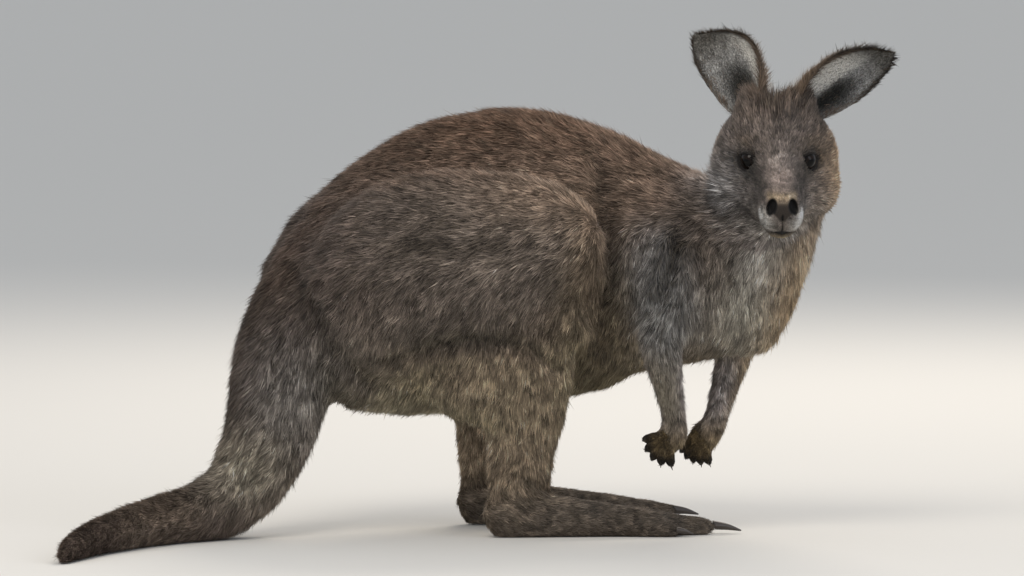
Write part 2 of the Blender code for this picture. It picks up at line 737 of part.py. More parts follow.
def ear(name: str, side: int, way, turn: float, parts: bpy.types.Collection) -> bpy.types.Object:
    """A cupped leaf of even thickness, its hollow turned forward and outward."""
    way = Vector(way).normalized()
    forward = head_way((1, 0, 0))
    forward = (forward - way * forward.dot(way)).normalized()
    outward = way.cross(forward) * (1 if way.cross(forward).dot(head_way((0, side, 0))) > 0 else -1)
    angle = math.radians(turn)
    hollow = forward * math.cos(angle) + outward * math.sin(angle)
    edge = outward * math.cos(angle) - forward * math.sin(angle)
    root = Vector(in_head((EAR_ROOT[0], side * EAR_ROOT[1], EAR_ROOT[2])))
    shape = bmesh.new()
    rows = []
    for height, half, curl in along([(u * EAR_LENGTH, half, curl) for u, half, curl in EAR_SHAPE],
                                    EAR_LENGTH / (EAR_ROWS - 1)):
        curl = math.radians(curl)
        radius = half / math.sin(min(curl, math.pi / 2))
        share = height / EAR_LENGTH
        aside = EAR_TIP_OUT * share**2 - EAR_BOW * math.sin(math.pi * share)
        middle = root + way * height + hollow * EAR_HOLLOW + edge * aside
        row = []
        for k in range(EAR_COLUMNS):
            at = (2 * k / (EAR_COLUMNS - 1) - 1) * curl
            depth = radius * (math.cos(at) - math.cos(curl))
            row.append(shape.verts.new((middle + edge * radius * math.sin(at) - hollow * depth) * MM))
        rows.append(row)
    for low, high in zip(rows, rows[1:]):
        for k in range(EAR_COLUMNS - 1):
            shape.faces.new((low[k], low[k + 1], high[k + 1], high[k]))
    piece = add(finished(f"ear_{name}", shape), parts)
    shell = piece.modifiers.new("shell", "SOLIDIFY")
    shell.thickness = EAR_THICKNESS * MM
    shell.offset = 0.0
    return settled(piece)


def eye_frame(side: int) -> Matrix:
    """A frame at an eye's middle whose z is the way its pupil faces."""
    look = head_way((EYE_LOOK[0], side * EYE_LOOK[1], EYE_LOOK[2]))
    at = in_head((EYE_AT[0], side * EYE_AT[1], EYE_AT[2]))
    return facing(at, look, head_way((0, 0, 1)))


def ball(name: str, radius: float, frame: Matrix, rings: int) -> bpy.types.Mesh:
    """A ball of this radius whose poles lie on the frame's z."""
    shape = bmesh.new()
    bmesh.ops.create_uvsphere(shape, u_segments=2 * rings, v_segments=rings, radius=radius * MM)
    shape.transform(frame)
    return finished(name, shape)


def socket(side: int, parts: bpy.types.Collection) -> bpy.types.Object:
    """What is taken out of the head round an eye: a ball, and the gap between the lids."""
    hole = add(ball("socket", EYE_RADIUS + CLEARANCE, eye_frame(side), BALL_RINGS), parts)
    gap = bmesh.new()
    bmesh.ops.create_cone(gap, cap_ends=True, segments=20, radius1=1, radius2=LID_GAP_SPREAD, depth=1)
    half_length, half_height = LID_OPENING
    gap.transform(Matrix.Diagonal((half_length * MM, half_height * MM, LID_GAP_DEPTH * MM, 1)))
    gap.transform(eye_frame(side) @ Matrix.Translation(vec(0, 0, LID_GAP_MIDDLE)))
    return combine(hole, add(finished("gap", gap), parts), "UNION")


def claw(name, start, way, droop, length, radius, parts) -> bpy.types.Object:
    """A curved claw from `start`, tapering to a blunt point and bending along `droop`."""
    start, way, droop = Vector(start), Vector(way).normalized(), Vector(droop)
    knots = []
    for t, thick in CLAW_SHAPE:
        point = start + way * (length * t) + droop * (length * t * t)
        knots.append(Knot(*point, radius * thick, radius * thick))
    side = way.cross(droop)
    return add(limb(name, knots, side, spacing=length / 2, count=6, angles=CLAW_CAP), parts)


def claws(parts: bpy.types.Collection) -> dict[str, tuple[bpy.types.Object, str]]:
    """Every claw, with the name of the piece that holds it."""
    found = {}
    for place in LEGS:
        turn = math.radians(place.heading)
        ahead = Vector((math.cos(turn), math.sin(turn), 0))
        for toe, _, end, radius in TOES:
            length, thick = TOE_CLAWS[toe]
            x, y = on_foot(place, *end)
            root = Vector((x, y, radius + FOOT_SOLE + TOE_CLAW_UP))
            start = root + ahead * (radius * TOE_CLAW_AHEAD)
            drop = (start.z - thick * TOE_CLAW_HALF_TIP - TOE_CLAW_CLEAR) / length
            name = f"claw_{toe}_toe_{place.name}"
            made = claw(name, start, ahead, (0, 0, -drop * TOE_CLAW_DROOP), length, thick, parts)
            found[name] = (made, f"foot_{place.name}")
    for place in ARMS:
        length, thick = FINGER_CLAW
        for k, way in enumerate(finger_ways(place)):
            start = Vector(place.palm) + way * (FINGER_LENGTH + FINGER_RADIUS * FINGER_CLAW_AHEAD)
            name = f"claw_finger_{k + 1}_{place.name}"
            made = claw(name, start, way, FINGER_CLAW_BEND, length, thick, parts)
            found[name] = (made, f"paw_{place.name}")
    return found


def dress(piece: bpy.types.Object, look: tuple) -> None:
    """Give the piece its own material."""
    kind, colour, roughness = look
    material = bpy.data.materials.new(f"{kind} {piece.name}")
    material.use_nodes = True
    shader = material.node_tree.nodes["Principled BSDF"]
    shader.inputs["Base Color"].default_value = (*colour, 1.0)
    shader.inputs["Roughness"].default_value = roughness
    shader.inputs["Metallic"].default_value = 0.0
    piece.data.materials.clear()
    piece.data.materials.append(material)


def stand_at_origin(pieces: list[bpy.types.Object], parts: bpy.types.Collection) -> None:
    """Hang every piece on one empty, placed so that the model stands over the origin."""
    corners = np.array([vertex.co for piece in pieces for vertex in piece.data.vertices])
    middle = (corners.min(axis=0) + corners.max(axis=0)) / 2
    stand = bpy.data.objects.new("kangaroo", None)
    parts.objects.link(stand)
    stand.location = (-middle[0], -middle[1], -corners[:, 2].min())
    for piece in pieces:
        piece.parent = stand


def main() -> None:
    """Build the model."""
    clear_scene()
    parts = bpy.data.collections.new("grey_kangaroo")
    bpy.context.scene.collection.children.link(parts)
    masses = [trunk(), limb("tail", TAIL, TAIL_ACROSS), limb("neck", NECK, NECK_ACROSS)]
    masses += head()
    for place in LEGS:
        masses += leg(place)
    for place in ARMS:
        masses += arm(place)
    body = melted(masses, parts)
    combine(body, add(block(FLOOR_MIDDLE, (0, 0, -1), *FLOOR, 0), parts), "DIFFERENCE")
    for side in (-1, 1):
        combine(body, socket(side, parts), "DIFFERENCE")
    pieces = parted(body, parts)
    for name, piece in pieces.items():
        piece.name = name
        dress(piece, COAT)
    head_cut = grown(pieces["head"], CLEARANCE, parts)
    for name, side, way, turn in EARS:
        leaf = ear(name, side, way, turn, parts)
        cutter = add(head_cut.data.copy(), parts)
        pieces[leaf.name] = combine(leaf, cutter, "DIFFERENCE")
        dress(leaf, COAT)
        eye = add(ball(f"eye_{name}", EYE_RADIUS, eye_frame(side), BALL_RINGS), parts)
        pieces[eye.name] = eye
        dress(eye, EYE)
    bpy.data.objects.remove(head_cut, do_unlink=True)
    for name, (made, holder) in claws(parts).items():
        pieces[name] = combine(made, grown(pieces[holder], CLEARANCE, parts), "DIFFERENCE")
        dress(made, HORN)
    stand_at_origin(list(pieces.values()), parts)
    for name, piece in pieces.items():
        piece.data.name = name


main()
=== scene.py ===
"""Eastern grey kangaroo, life size: the looks of a still museum model.

One skin replaces the solids of flesh and lies inside their outline by the depth of the fur. Over
it lie tufts of solid mesh that follow the lie of the coat. Eyes and claws are pieces of their own.
Lengths are millimetres unless a name says otherwise, and MM turns them to metres.
"""

import logging
import math
from collections.abc import Iterator
from dataclasses import dataclass, field
from enum import Enum
from functools import cached_property

import bmesh
import bpy
import numpy as np
from mathutils import Matrix, Vector
from mathutils.bvhtree import BVHTree


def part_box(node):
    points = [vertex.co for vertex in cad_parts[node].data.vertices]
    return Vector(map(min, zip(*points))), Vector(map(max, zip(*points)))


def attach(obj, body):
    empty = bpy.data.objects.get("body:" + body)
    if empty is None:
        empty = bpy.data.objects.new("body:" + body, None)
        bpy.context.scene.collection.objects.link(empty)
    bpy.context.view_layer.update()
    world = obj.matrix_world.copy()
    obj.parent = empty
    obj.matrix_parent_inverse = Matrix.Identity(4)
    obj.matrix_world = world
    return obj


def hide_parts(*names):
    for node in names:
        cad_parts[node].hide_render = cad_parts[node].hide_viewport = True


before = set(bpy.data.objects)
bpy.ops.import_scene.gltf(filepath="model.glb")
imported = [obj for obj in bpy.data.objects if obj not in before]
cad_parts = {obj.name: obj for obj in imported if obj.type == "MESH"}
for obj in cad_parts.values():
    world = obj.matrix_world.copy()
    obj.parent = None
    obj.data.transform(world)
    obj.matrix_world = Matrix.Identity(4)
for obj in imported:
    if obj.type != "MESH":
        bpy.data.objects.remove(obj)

Pair = tuple[float, float]
Triple = tuple[float, float, float]
log = logging.getLogger("kangaroo")
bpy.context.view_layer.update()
MM = 0.001
BODY = "root"
UV_NAME = "OFBake"
CELLS = 32      # of the grid that random values are laid on, each way, before it repeats
COVER = 4.2     # how many tufts lie over each other
DRIFT_START = 1000.0    # cells from the lattice's first corner to the place 0
FLESH = [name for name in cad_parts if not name.startswith(("eye_", "claw_", "ear_"))]


class Side(Enum):
    """The animal's two sides, as the sign of y in its own frame."""

    RIGHT = -1
    LEFT = 1

    @property
    def word(self) -> str:
        """The side's name, as the nodes have it."""
        return self.name.lower()


# ---- Small helpers ----
def linear(hex_colour: str) -> np.ndarray:
    """Turn an sRGB hex colour to linear light.

    Args:
        hex_colour: Six hex digits after a hash.

    Returns:
        Three linear values from 0 to 1.
    """
    srgb = np.array([int(hex_colour[k:k + 2], 16) / 255 for k in (1, 3, 5)])
    return np.where(srgb <= 0.04045, srgb / 12.92, ((srgb + 0.055) / 1.055) ** 2.4)


def smooth(low: float, high: float, values: np.ndarray) -> np.ndarray:
    """Ramp softly from 0 at `low` to 1 at `high`.

    Args:
        low: Where the ramp starts.
        high: Where it ends. It may be below `low`.
        values: The values to place on the ramp.

    Returns:
        One value from 0 to 1 for each.
    """
    share = np.clip((values - low) / (high - low), 0.0, 1.0)
    return share * share * (3 - 2 * share)


def bump(values: np.ndarray, width: float) -> np.ndarray:
    """Give 1 at 0 and fall off on both sides like a bell of this width."""
    return np.exp(-(values / width) ** 2)


def unit(rows: np.ndarray) -> np.ndarray:
    """Give each row the length 1."""
    return rows / np.maximum(np.linalg.norm(rows, axis=-1, keepdims=True), 1e-12)


def drift(points: np.ndarray, size: float, seed: int) -> np.ndarray:
    """Make noise that wanders smoothly through space.

    Args:
        points: Places in millimetres, one a row.
        size: Distance between the noise's independent values.
        seed: Which noise.

    Returns:
        One value from -1 to 1 for each place.
    """
    lattice = np.random.default_rng(seed).uniform(-1, 1, (CELLS, CELLS, CELLS))
    spot = points / size + DRIFT_START
    low = np.floor(spot).astype(int)
    part = spot - low
    part = part * part * (3 - 2 * part)
    total = np.zeros(len(points))
    for corner in np.ndindex(2, 2, 2):
        share = np.prod(np.where(corner, part, 1 - part), axis=1)
        x, y, z = ((low + corner) % CELLS).T
        total += share * lattice[x, y, z]
    return total


def mesh_from(name: str, points: np.ndarray, faces: np.ndarray) -> bpy.types.Mesh:
    """Make a mesh from arrays.

    Args:
        name: The mesh's name.
        points: Vertices in metres, one a row.
        faces: Vertex numbers, one face a row, all of one size.

    Returns:
        The mesh, shaded smooth.
    """
    mesh = bpy.data.meshes.new(name)
    mesh.vertices.add(len(points))
    mesh.vertices.foreach_set("co", np.asarray(points, np.float32).ravel())
    mesh.loops.add(faces.size)
    mesh.loops.foreach_set("vertex_index", np.asarray(faces, np.int32).ravel())
    mesh.polygons.add(len(faces))
    mesh.polygons.foreach_set("loop_start", np.arange(0, faces.size, faces.shape[1], dtype=np.int32))
    mesh.update(calc_edges=True)
    mesh.shade_smooth()
    return mesh


def read_rows(
    items: bpy.types.bpy_prop_collection, key: str, width: int, kind: type = np.float32
) -> np.ndarray:
    """Read one value of each of a mesh's items.

    Args:
        items: The mesh's vertices, edges or the like.
        key: The value's name.
        width: How many numbers it has.
        kind: The numbers' type in the mesh.

    Returns:
        One row for each item.
    """
    found = np.empty(len(items) * width, kind)
    items.foreach_get(key, found)
    return found.reshape(-1, width)


def points_of(mesh: bpy.types.Mesh) -> np.ndarray:
    """Read a mesh's vertices, in metres."""
    return read_rows(mesh.vertices, "co", 3).astype(float)


def normals_of(mesh: bpy.types.Mesh) -> np.ndarray:
    """Read the vertex normals of a mesh."""
    return read_rows(mesh.vertex_normals, "vector", 3).astype(float)


def edges_of(mesh: bpy.types.Mesh) -> np.ndarray:
    """Read the two vertex numbers of each edge."""
    return read_rows(mesh.edges, "vertices", 2, np.int32)


def set_points(mesh: bpy.types.Mesh, points: np.ndarray) -> None:
    """Move a mesh's vertices to these places, in metres."""
    mesh.vertices.foreach_set("co", np.asarray(points, np.float32).ravel())
    mesh.update()


def averaged(values: np.ndarray, edges: np.ndarray, passes: int, pull: np.ndarray | float) -> np.ndarray:
    """Spread values over a surface, each vertex moving towards its neighbours' average.

    Args:
        values: One row for each vertex.
        edges: The surface's edges.
        passes: How many times.
        pull: How far each vertex moves in one pass, from 0 to 1.

    Returns:
        The spread values.
    """
    values = values.copy()
    count = len(values)
    tally = np.maximum(np.bincount(edges.ravel(), minlength=count), 1)[:, None]
    starts = np.concatenate([edges[:, 0], edges[:, 1]])
    ends = np.concatenate([edges[:, 1], edges[:, 0]])
    pull = np.broadcast_to(np.asarray(pull, float).reshape(-1, 1), (count, 1))
    for _ in range(passes):
        sums = np.stack(
            [np.bincount(starts, values[ends, k], minlength=count) for k in range(values.shape[1])], axis=1
        )
        values += (sums / tally - values) * pull
    return values


def tube_faces(rows: int, ring: int) -> np.ndarray:
    """Number the triangles between the rings of a tube.

    Args:
        rows: How many rings it has.
        ring: How many points each has.

    Returns:
        Three vertex numbers a row.
    """
    low = np.arange(rows - 1)[:, None] * ring + np.arange(ring)
    after = np.arange(rows - 1)[:, None] * ring + (np.arange(ring) + 1) % ring
    quads = np.stack([low, after, after + ring, low + ring], axis=-1).reshape(-1, 4)
    return np.concatenate([quads[:, [0, 1, 2]], quads[:, [0, 2, 3]]])


def mesh_of(name: str, shape: bmesh.types.BMesh) -> bpy.types.Mesh:
    """Turn a worked shape into a mesh, and let the shape go.

    Args:
        name: The mesh's name.
        shape: The worked shape.

    Returns:
        The mesh.
    """
    mesh = bpy.data.meshes.new(name)
    shape.to_mesh(mesh)
    shape.free()
    return mesh


def welded(mesh: bpy.types.Mesh) -> bpy.types.Mesh:
    """Copy a mesh with its coinciding vertices made one.

    Args:
        mesh: The mesh.

    Returns:
        The copy.
    """
    shape = bmesh.new()
    shape.from_mesh(mesh)
    bmesh.ops.remove_doubles(shape, verts=shape.verts, dist=0.001 * MM)
    return mesh_of(mesh.name, shape)


def settled(piece: bpy.types.Object) -> bpy.types.Object:
    """Make a piece's modifiers part of its mesh.

    Args:
        piece: The piece.

    Returns:
        The same piece.
    """
    graph = bpy.context.evaluated_depsgraph_get()
    mesh = bpy.data.meshes.new_from_object(piece.evaluated_get(graph))
    piece.modifiers.clear()
    piece.data = mesh
    return piece


def shown(name: str, data: bpy.types.ID) -> bpy.types.Object:
    """Put a mesh, a lamp or a camera in the scene.

    Args:
        name: The new object's name.
        data: What it shows.

    Returns:
        The new object.
    """
    piece = bpy.data.objects.new(name, data)
    bpy.context.scene.collection.objects.link(piece)
    return piece


def paint(mesh: bpy.types.Mesh, colours: np.ndarray) -> None:
    """Store colours for the material to read.

    Args:
        mesh: The mesh.
        colours: One linear colour for each vertex.
    """
    layer = mesh.color_attributes.new("markings", "FLOAT_COLOR", "POINT")
    rows = np.concatenate([colours, np.ones((len(colours), 1))], axis=1)
    layer.data.foreach_set("color", rows.astype(np.float32).ravel())


def read_curve(places: np.ndarray, values: np.ndarray, wanted: np.ndarray) -> np.ndarray:
    """Read a smooth curve through values known at a few places.

    Args:
        places: Where the values are known, in rising order.
        values: The values there.
        wanted: Where to read the curve.

    Returns:
        The curve's values.
    """
    slope = np.gradient(values, places)
    span = np.clip(np.searchsorted(places, wanted, side="right") - 1, 0, len(places) - 2)
    width = places[span + 1] - places[span]
    t = (wanted - places[span]) / width
    start = (2 * t**3 - 3 * t**2 + 1) * values[span] + (t**3 - 2 * t**2 + t) * width * slope[span]
    return start + (3 * t**2 - 2 * t**3) * values[span + 1] + (t**3 - t**2) * width * slope[span + 1]


def mixed(first: np.ndarray, second: np.ndarray, share: np.ndarray) -> np.ndarray:
    """Mix two colours, or rows of colours, by a share for each row."""
    share = np.asarray(share)[:, None]
    return first * (1 - share) + second * share


def node(
    tree: bpy.types.NodeTree, kind: str, settings: dict | None = None, **links: bpy.types.NodeSocket
) -> bpy.types.Node:
    """Add a shader node.

    Args:
        tree: The material's node tree.
        kind: The node's type.
        settings: Values for the node's own properties, and for inputs by number or name.
        **links: The sockets to link to its inputs.

    Returns:
        The new node.
    """
    made = tree.nodes.new(kind)
    for key, value in (settings or {}).items():
        if isinstance(key, str) and hasattr(made, key):
            setattr(made, key, value)
        else:
            made.inputs[key].default_value = value
    join(made, **links)
    return made


def join(target: bpy.types.Node, **sockets: bpy.types.NodeSocket) -> None:
    """Link sockets to a node's inputs, each named with _ for a space."""
    for key, socket in sockets.items():
        target.id_data.links.new(socket, target.inputs[key.replace("_", " ")])


# ---- Where the animal and its head are ----
@dataclass(frozen=True)
class HeadPlace:
    """The head's own frame: x to the nose, y to its left, z up."""

    yaw: float = -88.0              # the face looks over the right shoulder
    pitch: float = 19.0             # muzzle below level
    eye_at: Triple = (24.0, 31.0, 20.0)     # forward, out, up
    stand_at: Triple = (314.5, -84.0, 441.0)    # in the animal's frame

    @cached_property
    def matrix(self) -> Matrix:
        """Find the frame's place in the model, in metres.

        Returns:
            The matrix from the head's frame to the model's.
        """
        turn = Matrix.Rotation(math.radians(self.yaw), 4, "Z")
        nod = Matrix.Rotation(math.radians(self.pitch), 4, "Y")
        middles = [sum(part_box(f"eye_{side.word}"), Vector()) / 2 for side in Side]
        between = (middles[0] + middles[1]) / 2
        turned = turn @ nod
        start = between - turned @ (Vector((self.eye_at[0], 0, self.eye_at[2])) * MM)
        return Matrix.Translation(start) @ turned

    def inward(self, points: np.ndarray) -> np.ndarray:
        """Turn places of the model, in metres, to millimetres in the head's frame."""
        back = np.array(self.matrix.inverted())
        return (points @ back[:3, :3].T + back[:3, 3]) / MM

    def outward(self, points: np.ndarray) -> np.ndarray:
        """Turn millimetres in the head's frame to places of the model, in metres."""
        frame_to_model = np.array(self.matrix)
        return points * MM @ frame_to_model[:3, :3].T + frame_to_model[:3, 3]

    def way(self, vectors: np.ndarray) -> np.ndarray:
        """Turn directions of the head's frame to directions of the model."""
        return vectors @ np.array(self.matrix)[:3, :3].T


HEAD = HeadPlace()
# The animal's own frame, in which the body's landmarks are given, starts here in the model.
STAND = np.array(HEAD.matrix.translation) - np.array(HEAD.stand_at) * MM


def in_animal(points: np.ndarray) -> np.ndarray:
    """Turn places of the model, in metres, to millimetres in the animal's frame."""
    return (points - STAND) / MM


# ---- The coat, part by part ----
@dataclass(frozen=True)
class Fur:
    """The coat on one part of the body."""

    length: float                   # of a tuft
    width: float                    # of a tuft at its root
    lift: float                     # degrees that a tuft rises from the skin
    depth: float                    # of the whole coat, from the skin to the outline
    soften: float                   # how far the skin's shape is smoothed, from 0 to 1
    way: Triple = (0.0, 0.0, -1.0)  # the lie of the coat, in the animal's frame


FUR = {
    "head": Fur(7.0, 1.1, 17, 2.4, 0.22),
    "neck": Fur(15, 1.45, 20, 6.5, 0.6, (-0.37, 0.22, -0.9)),
    "trunk": Fur(14, 1.55, 18, 6.5, 0.8, (-0.8, 0.0, -0.5)),
    "tail_base": Fur(15, 1.6, 19, 6.0, 0.7, (-0.45, -0.1, -1.0)),
    "tail_middle": Fur(14, 1.5, 19, 5.0, 0.7, (-0.5, -0.4, -0.7)),
    "tail_end": Fur(12, 1.4, 16, 4.0, 0.6, (-0.55, -0.75, -0.15)),
    "tail_tip": Fur(11, 1.3, 14, 3.0, 0.5, (-0.3, -0.95, -0.05)),
    "thigh": Fur(14, 1.55, 18, 6.5, 0.8, (-0.75, 0.0, -0.65)),
    "shank": Fur(12, 1.5, 17, 4.5, 0.6, (-0.15, 0.0, -1.0)),
    "foot": Fur(7, 1.25, 12, 1.6, 0.25, (1.0, 0.1, -0.1)),
    "upper_arm": Fur(14, 1.5, 19, 5.5, 0.7, (-0.1, 0.0, -1.0)),
    "forearm": Fur(10, 1.3, 15, 3.5, 0.5, (0.05, 0.0, -1.0)),
    "paw": Fur(5.5, 1.1, 13, 0.2, 0.0, (-0.4, 0.0, -0.9)),
}


def kind_of(name: str) -> str:
    """Give a node's name without its side."""
    return name.removesuffix("_left").removesuffix("_right")


@dataclass
class Surface:
    """What each point of the skin is, one row for a vertex."""

    points: np.ndarray              # in the model, metres
    faces: np.ndarray               # triangles
    length: np.ndarray              # of the tufts there
    width: np.ndarray
    lift: np.ndarray
    way: np.ndarray                 # the lie of the coat
    colour: np.ndarray              # linear
    cover: np.ndarray               # how many tufts lie over each other
    bare: np.ndarray                # 1 where the skin is naked
    part: np.ndarray                # the node that each vertex came from

    def joined(self, other: "Surface") -> "Surface":
        """Put two surfaces together.

        Args:
            other: The surface to add.

        Returns:
            Both as one.
        """
        faces = np.concatenate([self.faces, other.faces + len(self.points)])
        rows = {
            name: np.concatenate([getattr(self, name), getattr(other, name)])
            for name in self.__dataclass_fields__ if name != "faces"
        }
        return Surface(faces=faces, **rows)


@dataclass(frozen=True)
class Fold:
    """A soft crease in the skin along a line, which lies as the animal is seen from its side, with painted
    shade in it.
    """

    line: tuple[Pair, ...]          # forward and up, in the animal's frame
    width: float
    depth: float
    far_shift: float = 0.0          # forward, of the same fold on the animal's left side
    swell: float = 0.35             # how far the skin beside it rises, of the depth
    swell_at: float = 1.8           # how far aside, of the width
    swell_width: float = 0.8        # of the width
    painted_shade: float = 0.09          # painted shade of the coat in it, for each millimetre of depth
    shade_width: float = 0.9        # of the width
    facing: Pair = (0.05, 0.45)     # how far sideways the skin faces, where a side begins

    def gap(self, flat: np.ndarray) -> np.ndarray:
        """Measure how far points lie from the line.

        Args:
            flat: Places forward and up, in the animal's frame.

        Returns:
            One distance for each.
        """
        corners = np.array(self.line)
        found = np.full(len(flat), np.inf)
        for start, end in zip(corners, corners[1:]):
            run = end - start
            share = np.clip((flat - start) @ run / (run @ run), 0, 1)
            found = np.minimum(found, np.linalg.norm(flat - start - share[:, None] * run, axis=1))
        return found

    def sides(self, points: np.ndarray, normals: np.ndarray) -> Iterator[tuple[np.ndarray, np.ndarray]]:
        """Take the animal's two sides in turn.

        Args:
            points: The skin's points in the model, metres.
            normals: The way the skin faces there.

        Yields:
            How far each point lies from the line, and how much it belongs to this side.
        """
        spots = in_animal(points)[:, [0, 2]]
        for sign, shift in ((-1.0, 0.0), (1.0, self.far_shift)):
            yield self.gap(spots - np.array([shift, 0.0])), smooth(*self.facing, sign * normals[:, 1])

    def pressed(self, points: np.ndarray, normals: np.ndarray) -> np.ndarray:
        """Press the fold into both sides of the skin.

        Args:
            points: The skin's points in the model, metres.
            normals: The way the skin faces there.

        Returns:
            The moved points.
        """
        rise = np.zeros(len(points))
        for gap, side in self.sides(points, normals):
            swollen = bump(gap - self.swell_at * self.width, self.swell_width * self.width)
            rise += side * self.depth * (self.swell * swollen - bump(gap, self.width))
        return points + normals * (rise * MM)[:, None]

    def shade(self, points: np.ndarray, normals: np.ndarray) -> np.ndarray:
        """Tell how much painted shade darkens the coat in the fold.

        Args:
            points: The skin's points in the model, metres.
            normals: The way the skin faces there.

        Returns:
            The share of light that is lost at each point.
        """
        width = self.width * self.shade_width
        near = sum(side * bump(gap, width) for gap, side in self.sides(points, normals))
        return self.painted_shade * self.depth * near


FOLDS = (
    # Between flank and thigh, thigh and tail, over the knee, across the thigh, behind the shoulder
    # and over the ankle; each is pressed into the skin and darkened with painted shade.
    Fold(((108, 440), (119, 385), (120, 315), (108, 245), (92, 195)), 11.0, 5.0, -46.0),
    Fold(((-252, 318), (-226, 265), (-202, 222), (-172, 186)), 9.0, 4.0, -30.0),
    Fold(((-142, 218), (-85, 238), (-30, 244), (26, 230), (52, 205)), 9.0, 4.5, -46.0),
    Fold(((-120, 352), (-60, 346), (-5, 352)), 12.0, 3.0, -46.0),
    Fold(((176, 285), (190, 330), (206, 375)), 9.0, 3.5),
    Fold(((14, 74), (48, 54)), 6.0, 3.0, -34.0),
)

COAT_LABELS = (
    "length", "width", "lift", "depth", "way_x", "way_y", "way_z", "tone_r", "tone_g", "tone_b", "part"
)


def coat_row(name: str) -> tuple[float, ...]:
    """List the values of a node's coat in the order of COAT_LABELS, without the node's number."""
    fur, tone = FUR[kind_of(name)], linear(TONES[kind_of(name)])
    return (fur.length, fur.width, fur.lift, fur.depth, *fur.way, *tone)


@dataclass(frozen=True)
class Lie:
    """How the lie of the coat follows the back, the breast, the thighs and the head.

    A pair is the start and the end of a soft ramp, unless its comment says otherwise.
    """

    hub: Pair = (-20.0, 190.0)      # forward and up; the back curves round it
    trailing: Triple = (-0.7, 0.0, -0.5)    # added to the way round the hub
    down: Triple = (-0.25, 0.0, -1.0)   # on the breast and the lower flank
    breast: Pair = (150.0, 260.0)   # forward
    flank_height: Pair = (430.0, 330.0)
    flank: Pair = (20.0, 130.0)     # forward
    thigh_top: Triple = (-1.0, 0.0, -0.12)
    thigh_low: Triple = (-0.4, 0.0, -1.0)
    thigh_height: Pair = (250.0, 370.0)
    thigh_front: Pair = (110.0, 50.0)
    face_out: float = 0.25          # of the way out to the sides, on the way back over the face
    face_up: float = 0.35
    face_height: Pair = (-40.0, 60.0)
    eye_away: float = 1.6           # how strongly it turns away from the eyes
    eye_near: Pair = (2.4, 1.2)     # distance, of the ball's radius
    ear_way: Triple = (-0.35, 0.0, 1.0)     # in the head's frame
    ear_out: float = 0.5
    ear_height: Pair = (48.0, 66.0)
    ear_back: Pair = (14.0, -12.0)

    def over_trunk(self, spots: np.ndarray) -> np.ndarray:
        """Give the lie round the back, and down the breast and the flanks.

        Args:
            spots: Places in the animal's frame.

        Returns:
            The lie at each.
        """
        x, _, z = spots.T
        hub_x, hub_z = self.hub
        round_hub = np.stack([-(z - hub_z), np.zeros(len(x)), x - hub_x], axis=1) / hub_z
        along = round_hub + np.array(self.trailing)
        low = smooth(*self.flank_height, z) * smooth(*self.flank, x)
        side = np.maximum(smooth(*self.breast, x), low)[:, None]
        return along * (1 - side) + np.array(self.down) * side

    def over_thigh(self, spots: np.ndarray) -> np.ndarray:
        """Give the lie back over the top of the thigh and down its lower half."""
        high = smooth(*self.thigh_height, spots[:, 2]) * smooth(*self.thigh_front, spots[:, 0])
        return mixed(np.array(self.thigh_low), np.array(self.thigh_top), high)

    def over_head(self, local: np.ndarray) -> np.ndarray:
        """Give the lie back from the nose, round the eyes and up to the ears.

        Args:
            local: Places in the head's frame.

        Returns:
            The lie at each, in the same frame.
        """
        out = np.sign(local[:, 1])
        up = self.face_up * smooth(*self.face_height, local[:, 2])
        back = np.stack([-np.ones(len(local)), self.face_out * out, up], axis=1)
        for eye in EYES.values():
            away = local - eye.middle
            near = smooth(*self.eye_near, np.linalg.norm(away, axis=1) / eye.radius)
            back = back + unit(away) * (self.eye_away * near)[:, None]
        ears = (smooth(*self.ear_height, local[:, 2]) * smooth(*self.ear_back, local[:, 0]))[:, None]
        rise = np.array(self.ear_way) + self.ear_out * out[:, None] * np.array([0, 1.0, 0])
        return unit(back * (1 - ears) + rise * ears)

    def turned(self, spots: np.ndarray, names: list[str], ways: np.ndarray) -> np.ndarray:
        """Turn the parts' own directions to follow the body.

        Args:
            spots: The vertices, in the animal's frame.
            names: The node that each lies on.
            ways: The parts' own directions.

        Returns:
            The lie at each vertex.
        """
        ways, part = ways.copy(), np.array(names)
        head_way = HEAD.way(self.over_head(HEAD.inward(spots * MM + STAND)))
        for chosen, lie in (
            (part == "trunk", self.over_trunk(spots)),
            (np.char.startswith(part, "thigh"), self.over_thigh(spots)),
            (part == "head", head_way),
        ):
            ways[chosen] = lie[chosen]
        return unit(ways)


